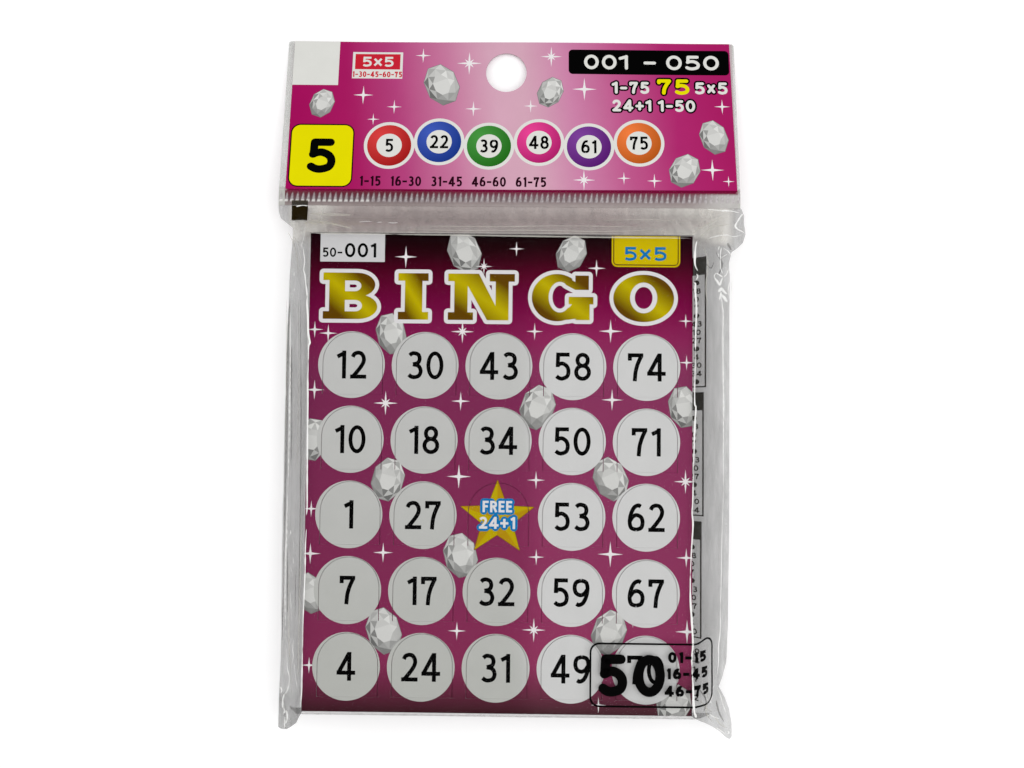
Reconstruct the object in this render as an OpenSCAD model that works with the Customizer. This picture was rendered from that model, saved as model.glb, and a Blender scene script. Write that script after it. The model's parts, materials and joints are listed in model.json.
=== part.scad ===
// Pack of punch-out bingo cards in a clear film header bag, lying on its back.
// Millimetres. +X to the right of the printed face, +Y towards the header, +Z out of the printed face.
// The origin is the middle of the pack's footprint, on the surface that it lies on.

/* [Cards] */
// Width of a card
card_w = 85; // [75:0.5:95]
// Height of a card
card_h = 105; // [96:0.5:130]
// Thickness of one card's board
card_t = 0.24; // [0.15:0.01:0.5]
// Air between two cards of the stack
sheet_gap = 0.01; // [0.005:0.005:0.05]
// Cards in the pack
card_count = 50; // [10:1:80]

/* [Number flaps] */
// Distance from the card's side edges to the middle of the outermost columns' cells
side_margin = 9.9; // [9.5:0.1:12]
// Distance between the flap rows
row_pitch = 16.5; // [15.6:0.1:17.5]
// Distance from the card's lower edge to the middle of the lowest row's cells
grid_margin = 9.8; // [8:0.1:14]
// Width of a flap
flap_w = 13.1; // [8:0.1:14]
// Height of a flap, from its fold to the top of its arch
flap_h = 13.6; // [9:0.1:14.5]
// How far the fold lies below the middle of its cell
fold_drop = 6.5; // [4:0.1:7.5]
// Width of the die cut round a flap
cut_gap = 0.15; // [0.05:0.01:0.3]
// Clearance behind the rounded fold of a flap
fold_gap = 0.05; // [0.03:0.01:0.1]
// Free height over the top card, in which its flaps can lift
flap_room = 1.3; // [1.2:0.1:3]

/* [Film pouch] */
// Thickness of the film
film_t = 0.15; // [0.08:0.01:0.25]
// Flat width of the bag, at its seal and header
bag_w = 106; // [104:0.5:120]
// Width of the pouch over its side seams, beside the cards
pouch_w = 101; // [98.5:0.5:103.5]
// How far the stack lies left of the bag's middle
stack_shift = 1.5; // [0:0.1:2.5]
// Clearance between the cards' edges and the folds of the film
film_margin = 0.4; // [0.2:0.05:0.8]
// Clearance between the stack and the back film
stack_lift = 0.05; // [0.02:0.01:0.3]
// Width of the flat weld along each side seam
side_weld = 1.5; // [1.3:0.1:2]
// Width of the flat fold along the bottom
bottom_weld = 0.5; // [0.3:0.1:1]
// How far the bottom fold reaches beyond the cards
bottom_reach = 1.6; // [1.4:0.1:3]
// How far the shoulder runs from the cards' top edge to the seal
shoulder_run = 7.8; // [6:0.1:14]
// Width of the flat weld between shoulder and seal
shoulder_weld = 0.8; // [0.4:0.1:1.5]
// How far the pouch keeps the bag's full width below the seal
full_width_run = 4.3; // [2:0.1:5]
// How far below that the pouch has drawn in to its width beside the cards
draw_in_run = 3.5; // [1.5:0.1:6]

/* [Corner ears] */
// How far the left ear of film reaches below the cards
ear_left = 5.2; // [3:0.1:8]
// Width of the left ear's tip
ear_left_w = 2.8; // [1:0.1:3.5]
// Width of the left ear where it leaves the bottom fold
ear_left_foot = 6.5; // [5:0.1:9]
// How far the right ear of film reaches below the cards
ear_right = 6.8; // [4:0.1:9]
// Width of the right ear's tip
ear_right_w = 2.2; // [1:0.1:3.5]
// Width of the right ear where it leaves the bottom fold
ear_right_foot = 7.5; // [5:0.1:9]
// Depth of the nick where the right ear turns out of the side seam
nick_depth = 1.2; // [0.3:0.1:1.2]
// Height of the nick's middle above the lower edge of the cards
nick_rise = 3.7; // [2:0.1:8]
// Length of the nick along the side seam, above its middle
nick_run = 5.5; // [3:0.1:10]

/* [Seal and header] */
// Height of the crimped seal
seal_h = 3.4; // [2:0.1:6]
// Distance between the ribs of the seal
rib_pitch = 1.25; // [0.6:0.05:2]
// Height of a rib
rib_rise = 0.12; // [0.05:0.01:0.3]
// Plain margin above and below the ribs
rib_margin = 0.4; // [0.1:0.1:0.8]
// Height of the header, from the seal to its top edge
header_h = 37.7; // [28:0.1:60]
// Diameter of the hang hole
hang_hole_d = 9.6; // [5:0.1:12]
// Distance from the header's top edge to the middle of the hang hole
hang_hole_inset = 7.9; // [7:0.1:14]
// How far the hang hole lies left of the header's middle
hang_hole_shift = 1; // [0:0.1:3]
// Clearance between the seal and the rounded fold of the header
header_gap = 0.2; // [0.15:0.05:0.5]

/* [Closing flap] */
// Length of the lip that closes the mouth at the back
lip_h = 7.5; // [4:0.1:8.5]
// How much narrower the lip is than the bag, at each side
lip_inset = 3; // [1:0.1:8]
// Thickness of the adhesive strip on the lip
strip_t = 0.1; // [0.05:0.01:0.2]
// Height of the adhesive strip
strip_h = 4; // [2:0.1:5]
// Distance from the lip's free edge to the adhesive strip
strip_inset = 1.2; // [0.5:0.1:1.5]
// Gap between the adhesive strip and the pouch
strip_gap = 0.03; // [0.02:0.01:0.05]

/* [Hidden] */
$fn = 64;
column_letters = ["b", "i", "n", "g", "o"];
row_numbers = [1, 2, 3, 4, 5];
middle_row = 3;
lowest_row = max(row_numbers);
middle_column = 2;
function flap_name(column, row) = str("flap_", column_letters[column], row);
flap_columns = [for (i = [0 : len(column_letters) - 1]) i];
flap_names = [for (i = flap_columns) for (j = row_numbers) flap_name(i, j)];

cut_over = card_t;

// Heights of the stack, the seams and the film over the cards
sheet_pitch = card_t + sheet_gap;
stack_z = film_t + stack_lift;
card_top_z = stack_z + card_count * sheet_pitch;
top_card_z = card_top_z - card_t;
seam_z = stack_z + (card_top_z - stack_z) / 2;
front_rise = card_top_z + flap_room + film_t - seam_z;
back_rise = seam_z;

// Distance between the flap columns
col_pitch = (card_w / 2 - side_margin) / middle_column;

// Places along Y, counted from the middle of the cards
card_edge_y = card_h / 2;
seal_y = card_edge_y + shoulder_run;
header_fold_y = seal_y + seal_h + film_t + header_gap;
header_slope = asin((seam_z - film_t) / header_h);
header_tip_y = header_fold_y + header_h * cos(header_slope) + film_t * sin(header_slope);
bottom_y = card_edge_y + bottom_reach;
ear_left_y = card_edge_y + ear_left;
ear_right_y = card_edge_y + ear_right;
middle_y = (header_tip_y - ear_right_y) / 2;

// Half widths along X, counted from the middle of the bag
half_bag = bag_w / 2;
half_pouch = pouch_w / 2;
flat_left_x = -stack_shift - card_w / 2 - film_margin;
flat_right_x = -stack_shift + card_w / 2 + film_margin;
flat_end_y = card_edge_y + film_margin;
foot_x = half_pouch - side_weld;
foot_bottom_y = bottom_y - bottom_weld;
foot_top_y = seal_y - shoulder_weld;
foot_widening = half_bag - half_pouch;

// How the points of a film ring are shared out along each side, counterclockwise from the lower left
bottom_shares = [0, 0.035, 0.07, 0.11, 0.5, 0.89, 0.93, 0.965];
right_shares = [0, 0.02, 0.045, 0.1, 0.5, 0.92, 0.96];
top_shares = [0, 0.5];
left_shares = [0, 0.04, 0.08, 0.5, 0.97];
// How much of the widening towards the seal each point of a side has
right_widening_shares = [0, 0, 0, 0, 0, 0, 1];
left_widening_shares = [1, 1, 0, 0, 0];
// How far down an ear its rounded bend lies
ear_bend_share = 0.45;
ring_count = len(bottom_shares) + len(right_shares) + len(top_shares) + len(left_shares);

// A ring of film points on the sides of a box, which is wider by "widening" at its top end
function box_ring(x0, x1, y0, y1, z, widening) = concat(
    [for (s = bottom_shares) [x0 + s * (x1 - x0), y0, z]],
    [for (k = [0 : len(right_shares) - 1])
        [x1 + right_widening_shares[k] * widening, y0 + right_shares[k] * (y1 - y0), z]],
    [for (s = top_shares)
        [(x1 + widening) + s * ((x0 - widening) - (x1 + widening)), y1, z]],
    [for (k = [0 : len(left_shares) - 1])
        [x0 - left_widening_shares[k] * widening, y1 + left_shares[k] * (y0 - y1), z]]);

// The outer edge of the pouch, with its ears, the nick and the draw-in below the seal
function edge_ring(z) = concat(
    [[-half_pouch, -ear_left_y, z],
     [-half_pouch + ear_left_w, -ear_left_y, z],
     [-half_pouch + (ear_left_w + ear_left_foot) / 2,
      -bottom_y - ear_bend_share * (ear_left_y - bottom_y), z],
     [-half_pouch + ear_left_foot, -bottom_y, z],
     [-stack_shift, -bottom_y, z],
     [half_pouch - ear_right_foot, -bottom_y, z],
     [half_pouch - (ear_right_w + ear_right_foot) / 2,
      -bottom_y - ear_bend_share * (ear_right_y - bottom_y), z],
     [half_pouch - ear_right_w, -bottom_y - (1 - ear_bend_share / 2) * (ear_right_y - bottom_y), z]],
    [[half_pouch, -ear_right_y, z],
     [half_pouch - nick_depth / 3, -card_edge_y, z],
     [half_pouch - nick_depth, -card_edge_y + nick_rise, z],
     [half_pouch, -card_edge_y + nick_rise + nick_run, z],
     [half_pouch, 0, z],
     [half_pouch, seal_y - full_width_run - draw_in_run, z],
     [half_bag, seal_y - full_width_run, z]],
    [[half_bag, seal_y, z],
     [0, seal_y, z]],
    [[-half_bag, seal_y, z],
     [-half_bag, seal_y - full_width_run, z],
     [-half_pouch, seal_y - full_width_run - draw_in_run, z],
     [-half_pouch, 0, z],
     [-half_pouch, -card_edge_y, z]]);

// Moves a part from the cards' middle to the middle of the pack's footprint
module in_pack() translate([0, -middle_y, 0]) children();

// Outline of a flap, its fold on the X axis, grown by a gap and carried on below the fold
module arch(gap, below) {
    straight = flap_h - flap_w / 2;
    translate([0, straight]) circle(d = flap_w + 2 * gap);
    translate([-flap_w / 2 - gap, -below]) square([flap_w + 2 * gap, straight + below]);
}

// Puts a part at the fold line of one flap, on the underside of the top card
module at_fold(column, row)
    translate([
        -stack_shift + (column - middle_column) * col_pitch,
        -card_edge_y + grid_margin + (lowest_row - row) * row_pitch - fold_drop,
        top_card_z])
    children();

module card_blank(thickness)
    translate([-stack_shift - card_w / 2, -card_edge_y, 0]) cube([card_w, card_h, thickness]);

// One panel of the pouch: a flat raised face over the cards, sloped sides and a flat welded edge,
// with the seam plane at Z = 0
module pouch_panel(rise) {
    drop = rise - film_t;
    left_fold = film_t * tan(atan2(drop, flat_left_x + foot_x) / 2);
    right_fold = film_t * tan(atan2(drop, foot_x - flat_right_x) / 2);
    bottom_fold = film_t * tan(atan2(drop, foot_bottom_y - flat_end_y) / 2);
    top_fold = film_t * tan(atan2(drop, foot_top_y - flat_end_y) / 2);
    points = concat(
        box_ring(flat_left_x, flat_right_x, -flat_end_y, flat_end_y, rise, 0),
        box_ring(-foot_x, foot_x, -foot_bottom_y, foot_top_y, film_t, foot_widening),
        edge_ring(film_t),
        edge_ring(0),
        box_ring(-foot_x + left_fold, foot_x - right_fold,
                 -foot_bottom_y + bottom_fold, foot_top_y - top_fold, 0, foot_widening),
        box_ring(flat_left_x + left_fold, flat_right_x - right_fold,
                 -flat_end_y + bottom_fold, flat_end_y - top_fold, drop, 0));
    rings = len(points) / ring_count;
    outer_middle = len(points);
    inner_middle = outer_middle + 1;
    middles = [[-stack_shift, 0, rise], [-stack_shift, 0, drop]];
    last_ring = (rings - 1) * ring_count;
    faces = concat(
        [for (i = [0 : ring_count - 1]) [outer_middle, (i + 1) % ring_count, i]],
        [for (k = [0 : rings - 2]) for (i = [0 : ring_count - 1])
            [k * ring_count + i, k * ring_count + (i + 1) % ring_count,
             (k + 1) * ring_count + (i + 1) % ring_count]],
        [for (k = [0 : rings - 2]) for (i = [0 : ring_count - 1])
            [k * ring_count + i, (k + 1) * ring_count + (i + 1) % ring_count,
             (k + 1) * ring_count + i]],
        [for (i = [0 : ring_count - 1])
            [inner_middle, last_ring + i, last_ring + (i + 1) % ring_count]]);
    polyhedron(points = concat(points, middles), faces = faces);
}

// One ply of the header, its fold on the X axis and its outer face up
module header_ply() {
    difference() {
        rotate([90, 0, 90]) linear_extrude(bag_w, center = true) {
            square([header_h, film_t]);
            intersection() {
                circle(r = film_t);
                translate([-film_t, 0]) square(film_t);
            }
        }
        translate([-hang_hole_shift, header_h - hang_hole_inset, -film_t])
            cylinder(d = hang_hole_d, h = 3 * film_t);
    }
}

module at_header_fold()
    in_pack() translate([0, header_fold_y, seam_z]) rotate([-header_slope, 0, 0]) children();

// Places a part on the lip: its fold on the X axis, its length along -Y, its outer face down
module at_lip_fold() {
    shoulder_slope = atan2(back_rise - film_t, foot_top_y - flat_end_y);
    stand_off = strip_gap + strip_t + film_t / 2;
    in_pack() translate([0, foot_top_y, seam_z - film_t])
        rotate([shoulder_slope, 0, 0]) translate([0, 0, -stand_off]) children();
}

module top_card() color("mediumvioletred")
    in_pack() difference() {
        translate([0, 0, top_card_z]) card_blank(card_t);
        for (i = flap_columns) for (j = row_numbers)
            at_fold(i, j) translate([0, 0, -cut_over])
                linear_extrude(card_t + 2 * cut_over) arch(cut_gap, card_t / 2 + fold_gap);
    }

module flap(column, row) color(row == middle_row && column == middle_column ? "gold" : "whitesmoke")
    in_pack() at_fold(column, row) {
        linear_extrude(card_t) arch(0, 0);
        translate([0, 0, card_t / 2]) rotate([0, 90, 0]) cylinder(d = card_t, h = flap_w, center = true);
    }

module cards_below() color("palevioletred")
    in_pack() for (k = [0 : card_count - 2])
        translate([0, 0, stack_z + k * sheet_pitch]) card_blank(card_t);

module pouch_front_film() color("lightgray", 0.4)
    in_pack() translate([0, 0, seam_z]) pouch_panel(front_rise);

module pouch_back_film() color("silver", 0.4)
    in_pack() translate([0, 0, seam_z]) mirror([0, 0, 1]) pouch_panel(back_rise);

module heat_seal() color("thistle") {
    rib_count = floor(bag_w / rib_pitch) - 1;
    first_rib_x = -rib_count * rib_pitch / 2;
    in_pack() translate([0, seal_y, seam_z]) {
        translate([-half_bag, 0, -film_t]) cube([bag_w, seal_h, 2 * film_t]);
        for (k = [0 : rib_count - 1])
            translate([first_rib_x + (k + 1 / 4) * rib_pitch, rib_margin, -film_t - rib_rise])
                cube([rib_pitch / 2, seal_h - 2 * rib_margin, 2 * (film_t + rib_rise)]);
    }
}

module header_front_film() color("orchid")
    at_header_fold() header_ply();

module header_back_film() color("plum")
    at_header_fold() mirror([0, 0, 1]) header_ply();

module closing_flap() color("lightsteelblue", 0.6)
    at_lip_fold() {
        lip_w = bag_w - 2 * lip_inset;
        translate([-lip_w / 2, -lip_h, -film_t / 2]) cube([lip_w, lip_h, film_t]);
        rotate([0, 90, 0]) cylinder(d = film_t, h = lip_w, center = true);
    }

module adhesive_strip() color("khaki")
    at_lip_fold() {
        lip_w = bag_w - 2 * lip_inset;
        translate([-lip_w / 2, -lip_h + strip_inset, film_t / 2]) cube([lip_w, strip_h, strip_t]);
    }

top_card();
for (i = flap_columns) for (j = row_numbers)
    flap(i, j);
cards_below();
pouch_front_film();
pouch_back_film();
heat_seal();
header_front_film();
header_back_film();
closing_flap();
adhesive_strip();
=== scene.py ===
"""Looks of a pack of punch-out bingo cards in a clear film bag with a printed header.

Lengths are millimetres until a mesh is made. X runs to the right of the printed face, Y towards the header
and Z up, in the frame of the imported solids. A place on a card is counted from the card's middle, and one on
the header from the middle of its fold. A place on the film, or in its print, is counted from the middle of
the bag along X and of the cards along Y.
"""

import json
import math
import random

import bpy
from mathutils import Matrix, Vector, geometry, noise


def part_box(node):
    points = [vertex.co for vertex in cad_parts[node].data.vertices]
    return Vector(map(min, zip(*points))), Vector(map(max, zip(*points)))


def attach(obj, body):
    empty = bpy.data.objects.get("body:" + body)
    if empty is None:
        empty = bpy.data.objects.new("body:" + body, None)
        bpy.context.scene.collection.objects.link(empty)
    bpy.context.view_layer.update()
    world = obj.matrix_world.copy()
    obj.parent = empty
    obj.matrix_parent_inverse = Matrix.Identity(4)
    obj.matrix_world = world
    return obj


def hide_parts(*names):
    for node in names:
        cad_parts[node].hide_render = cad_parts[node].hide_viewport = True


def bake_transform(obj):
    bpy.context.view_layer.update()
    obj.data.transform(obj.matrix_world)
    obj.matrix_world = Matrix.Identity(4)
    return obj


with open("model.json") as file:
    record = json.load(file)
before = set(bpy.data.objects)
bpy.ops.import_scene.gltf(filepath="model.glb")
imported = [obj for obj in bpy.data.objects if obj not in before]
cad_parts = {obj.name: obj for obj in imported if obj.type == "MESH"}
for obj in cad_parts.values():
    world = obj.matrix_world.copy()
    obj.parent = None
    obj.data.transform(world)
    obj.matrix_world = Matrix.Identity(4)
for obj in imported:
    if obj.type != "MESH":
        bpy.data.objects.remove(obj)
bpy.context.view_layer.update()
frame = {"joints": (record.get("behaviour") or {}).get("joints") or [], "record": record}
MM = 0.001


def node_box(node):
    """Lowest and highest corner of a solid."""
    return [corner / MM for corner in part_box(node)]


def joint_place(name):
    """A point on a joint's axis."""
    return Vector(next(j["pos_m"] for j in frame["joints"] if j["name"] == name)) / MM


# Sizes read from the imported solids
CARD_LOW, CARD_HIGH = node_box("top_card")
CARD_X = (CARD_LOW.x + CARD_HIGH.x) / 2
CARD_Y = (CARD_LOW.y + CARD_HIGH.y) / 2
HALF_CARD_W = (CARD_HIGH.x - CARD_LOW.x) / 2
HALF_CARD_H = (CARD_HIGH.y - CARD_LOW.y) / 2
CARD_T = CARD_HIGH.z - CARD_LOW.z
CARD_TOP = CARD_HIGH.z
STACK_LOW, STACK_HIGH = node_box("cards_below")
FRONT_LOW, FRONT_HIGH = node_box("pouch_front_film")
SEAM_Z = FRONT_LOW.z
FILM_TOP = FRONT_HIGH.z
HALF_BAG = FRONT_HIGH.x
SEAL_LOW, SEAL_HIGH = node_box("heat_seal")
FOLD = joint_place("header_fold")
LIP_LOW, LIP_HIGH = node_box("closing_flap")
HOLE = next(m for m in frame["record"]["mounts"] if m["name"] == "hang_hole")
HOLE_R = HOLE["dims"]["r_mm"]

# Sizes of the film pouch and the header, as in the solids
SOLID_FILM_T = 0.15
FILM_MARGIN = 0.4
SIDE_WELD = 1.5
HALF_POUCH = 50.5
BOTTOM_REACH = 1.6
BOTTOM_WELD = 0.5
SHOULDER_WELD = 0.8
HEADER_H = 37.7
HOLE_INSET = 7.9
CUT_GAP = 0.15
FLAP_W = 13.1
FLAP_H = 13.6
CARDS_BELOW = 49
MOST_SHIFT = 0.22
RIM_SHARE = 0.72
STRIP_H = 4.0
STRIP_INSET = 1.2
STRIP_SIDE = 0.3

# The camera of the photograph, from the middle of the top card's face
CAMERA_AT = Vector((4.8, 9.7, 208.1))
CAMERA_AIM = Vector((2.7, 19.3, 0.0))
CAMERA_ROLL = math.radians(0.59)
LENS = 33.15
SENSOR = 36.0
PHOTO_W, PHOTO_H = 1024, 768

# The film, the crimp with the brown mark at its left end, and the header
FILM_T = 0.1
FILM_STEP = 0.8
RIM_STEP = 0.9
RIM_CLEAR = 0.35
LEAST_OFF_SEAM = 0.01
INK_STEP = 1.2
INK_LEVELS = (0.045, 0.012)
SHARP_ANGLE = math.radians(38)
RIB_PITCH = 1.25
RIB_LEAN = 0.25
RIB_START = 0.2
RIB_END = 0.94
RIB_H = 0.12
SEAL_HALF_T = 0.14
# The crimp's pattern and the header's print slant a little, in millimetres over the bag's width
SLANT = 0.36
MARK_LEFT = -49.9
MARK_RIGHT = -46.2
MARK = [(MARK_LEFT, 56.8), (-45.4, 55.9), (MARK_RIGHT, 60.2), (MARK_LEFT, 60.2)]
MARK_SPAN = 0.32
GLINT_END = -32.0
HEADER_SLOPE = math.asin((SEAM_Z - SOLID_FILM_T) / HEADER_H)
HOLE_U = HOLE["pos_m"][0] / MM
HOLE_V = HEADER_H - HOLE_INSET
HOLE_STRETCH = 1.04
PLY_GAP = 0.02
PLY_T = 0.11
FOLD_HALF_T = 0.1
FOLD_INSET = 0.05
SEAL_LAP = 0.12
HEADER_LAP = 0.5
PRINT_LEFT = -51.5
PRINT_RIGHT = 52.4
GUIDE_REACH = 60
MERGE = 1e-3


# Colours

def clamped(t):
    return min(max(t, 0.0), 1.0)


def eased(t):
    t = clamped(t)
    return t * t * (3 - 2 * t)


def srgb(*levels):
    """Linear colour of an 8-bit screen colour."""
    shares = [level / 255 for level in levels]
    return tuple(s / 12.92 if s <= 0.04045 else ((s + 0.055) / 1.055) ** 2.4 for s in shares)


def mixed(a, b, t):
    """The colour that lies at t between a and b."""
    t = clamped(t)
    return tuple(p + (q - p) * t for p, q in zip(a, b))


def stops(*rows):
    """A colour ramp from rows of a value and an 8-bit screen colour."""
    return [(value, srgb(*levels)) for value, *levels in rows]


def ramp(ramp_stops, value):
    """The colour at a value along a ramp."""
    for (v0, c0), (v1, c1) in zip(ramp_stops, ramp_stops[1:]):
        if value <= v1:
            return mixed(c0, c1, (value - v0) / (v1 - v0))
    return ramp_stops[-1][1]


WHITE = (1.0, 1.0, 1.0)
DARK = (0.0, 0.0, 0.0)
BLACK = srgb(2, 2, 2)
PAPER = srgb(203, 204, 201)
PALE = srgb(222, 220, 221)
TAB_WHITE = srgb(206, 205, 206)
BOARD_EDGE = srgb(214, 208, 206)
BOARD_SHADE = srgb(176, 150, 160)
STACK_PRINT = srgb(150, 40, 100)
# The flaps' cut walls, darkened as painted shade inside the narrow die cuts
CUT_EDGE_PAINTED_SHADE = srgb(96, 70, 78)
SPARK = srgb(232, 228, 229)
STONE_RIM = srgb(118, 116, 116)
BRIGHT_GOLD = srgb(190, 172, 3)
DARK_GOLD = srgb(96, 64, 2)
STAR_GOLD = srgb(178, 140, 14)
STAR_SHADE = srgb(122, 84, 14)
LABEL_BLUE = srgb(20, 116, 178)
YELLOW = srgb(226, 217, 2)
TAB_YELLOW = srgb(204, 181, 2)
TAB_LINE = srgb(70, 44, 20)
RED = srgb(196, 34, 52)
HEADER_WHITE = srgb(219, 219, 214)
FOLD_MAGENTA = srgb(112, 12, 52)
DARK_TEXT = srgb(38, 4, 20)
BROWN = srgb(24, 18, 6)
GREY_INK = srgb(40, 34, 30)
MARK_BROWN = srgb(32, 24, 6)
BARE_SEAL = srgb(188, 187, 182)

# Ramps up the card, along the header, and up the valleys of the crimp at its left and its right
CARD_STOPS = stops(
    (-52.5, 58, 20, 28), (-48.5, 98, 34, 58), (-42.0, 140, 44, 87), (-28.0, 137, 42, 87), (21.0, 130, 40, 86),
    (30.0, 137, 22, 82), (36.5, 120, 8, 66), (43.0, 90, 3, 38), (48.0, 40, 1, 10), (52.5, 6, 1, 1))
HEADER_STOPS = stops(
    (-50.0, 160, 14, 88), (-37.0, 164, 26, 94), (-25.7, 178, 66, 123), (-14.0, 196, 117, 155),
    (-3.0, 209, 162, 182), (4.0, 209, 164, 182), (15.0, 201, 128, 166), (26.0, 187, 86, 137),
    (38.0, 171, 40, 107), (50.0, 164, 28, 95))
LEFT_VALLEY = stops(
    (0.0, 150, 138, 136), (0.2, 134, 120, 119), (0.35, 98, 80, 82), (0.5, 92, 62, 68), (0.65, 92, 36, 50),
    (0.8, 94, 10, 34), (0.92, 104, 8, 42), (1.0, 112, 12, 52))
RIGHT_VALLEY = stops(
    (0.0, 160, 149, 147), (0.2, 146, 132, 131), (0.35, 114, 98, 99), (0.6, 112, 80, 88), (0.8, 112, 40, 62),
    (0.92, 108, 12, 46), (1.0, 112, 12, 52))


def right_part(x):
    """How far a place lies in the painted sheen that makes the card's right part paler, from 0 to 1."""
    return eased((x - 3.0) / 8.0)


def card_ground(x, y):
    """The card's printed ground: nearly black at the top, magenta below, and dark again at the foot. A
    painted sheen makes its right part paler and lifts it a little below the letters, more at the right.
    """
    side = abs(x) / HALF_CARD_W
    base = mixed(ramp(CARD_STOPS, y), srgb(70, 8, 40), 0.12 * side * side)
    # Painted sheen: a small lift below the letters, more at the right, and the right part made paler
    haze_and_painted_light = (0.006 + 0.008 * right_part(x)) * eased((38.0 - y) / 15.0)
    return tuple(v * (0.87 + 0.19 * right_part(x)) + haze_and_painted_light for v in base)


def card_paper(x, y):
    """The paper of the discs, with painted light: darker towards the bottom at the left and paler at the
    right.
    """
    left = mixed(srgb(183, 184, 179), srgb(195, 195, 193), (y + 45.0) / 70.0)
    return mixed(left, srgb(207, 207, 206), right_part(x))


def header_ground(x, y):
    """The header's printed ground: pale in the middle and magenta towards its sides."""
    return ramp(HEADER_STOPS, x + 0.12 * (y - HEADER_H / 2))


# Outlines

def around(ring):
    """Each two neighbours on a closed ring."""
    return zip(ring, ring[1:] + ring[:1])


def paired(numbers):
    """Places from a row of numbers."""
    return list(zip(numbers[::2], numbers[1::2]))


def arc(cx, cy, rx, ry, start, end, steps):
    """Points on an ellipse from one angle to another, in degrees."""
    angles = [math.radians(start + (end - start) * k / steps) for k in range(steps + 1)]
    return [(cx + rx * math.cos(a), cy + ry * math.sin(a)) for a in angles]


def ellipse(cx, cy, rx, ry, steps=48):
    return arc(cx, cy, rx, ry, 0, 360, steps)[:-1]


def disc(cx, cy, r, steps=48):
    return ellipse(cx, cy, r, r, steps)


def rect(x0, y0, x1, y1):
    return [(x0, y0), (x1, y0), (x1, y1), (x0, y1)]


def rounded(x0, y0, x1, y1, r, steps=6):
    """A rectangle with round corners."""
    corners = enumerate(rect(x1 - r, y1 - r, x0 + r, y0 + r))
    return [p for k, (x, y) in corners for p in arc(x, y, r, r, 90 * k, 90 * k + 90, steps)]


def moved(outline, dx, dy, scale=1.0, turn=0.0):
    """An outline scaled and turned about its origin and then moved."""
    c = math.cos(math.radians(turn)) * scale
    s = math.sin(math.radians(turn)) * scale
    return [(dx + x * c - y * s, dy + x * s + y * c) for x, y in outline]


def area(outline):
    return sum(a[0] * b[1] - b[0] * a[1] for a, b in around(outline)) / 2


def spoke(angle, reach):
    return Vector((math.cos(angle), math.sin(angle))) * reach


def grown(outline, distance):
    """An outline moved outwards, round at its outer corners, or inwards by a negative distance."""
    points = [Vector(p) for p in (outline if area(outline) > 0 else outline[::-1])]
    result = []
    for before, here, after in zip(points[-1:] + points, points, points[1:] + points[:1]):
        before = (here - before).normalized()
        after = (after - here).normalized()
        normal = Vector((before.y, -before.x))
        turn = math.atan2(before.x * after.y - before.y * after.x, before.dot(after))
        if turn > 0.05 and distance > 0:
            steps = max(1, round(turn / 0.35))
            start = math.atan2(normal.y, normal.x)
            result += [here + spoke(start + turn * i / steps, distance) for i in range(steps + 1)]
        else:
            middle = (normal + Vector((after.y, -after.x))).normalized()
            result.append(here + middle * distance / max(middle.dot(normal), 0.4))
    return [(p.x, p.y) for p in result]


def smooth_line(points, steps=5):
    """A curve that passes smoothly through the points."""
    p = [Vector(q) for q in points]
    p = [2 * p[0] - p[1], *p, 2 * p[-1] - p[-2]]
    result = []
    for a, b, c, d in zip(p, p[1:], p[2:], p[3:]):
        for t in [k / steps for k in range(steps)]:
            result.append(0.5 * (2 * b + (c - a) * t + (2 * a - 5 * b + 4 * c - d) * t * t
                                 + (3 * b - a - 3 * c + d) * t * t * t))
    return result + [p[-2]]


def stroke(points, width, start_cap, end_cap):
    """The outline of a pen stroke. A cap is butt, square or round."""
    line = [Vector(p) for p in points]
    ahead = (line[1] - line[0]).normalized()
    back = (line[-1] - line[-2]).normalized()
    if start_cap == "square":
        line[0] = line[0] - ahead * width / 2
    if end_cap == "square":
        line[-1] = line[-1] + back * width / 2
    ways = [ahead, *[(b - a).normalized() for a, b in zip(line, line[1:])], back]
    sides = []
    for a, b in zip(ways, ways[1:]):
        along = (a + b).normalized()
        sides.append(Vector((-along.y, along.x)) * width / 2 / max(along.dot(a), 0.5))
    outline = [p - s for p, s in zip(line, sides)]
    if end_cap == "round":
        outline += cap_points(line[-1], back, width)
    outline += [p + s for p, s in zip(line, sides)][::-1]
    if start_cap == "round":
        outline += cap_points(line[0], -ahead, width)
    return [(p.x, p.y) for p in outline]


def cap_points(end, direction, width, steps=6):
    """Points round the end of a stroke, without the two where its sides end."""
    start = math.atan2(direction.y, direction.x) - math.pi / 2
    return [end + spoke(start + math.pi * k / steps, width / 2) for k in range(1, steps)]


def ring_halves(cx, cy, rx, ry, width, steps=20):
    """A ring as two outlines, right and left."""
    h = width / 2
    return [arc(cx, cy, rx + h, ry + h, a, a + 180, steps) + arc(cx, cy, rx - h, ry - h, a + 180, a, steps)
            for a in (-90, 90)]


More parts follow.
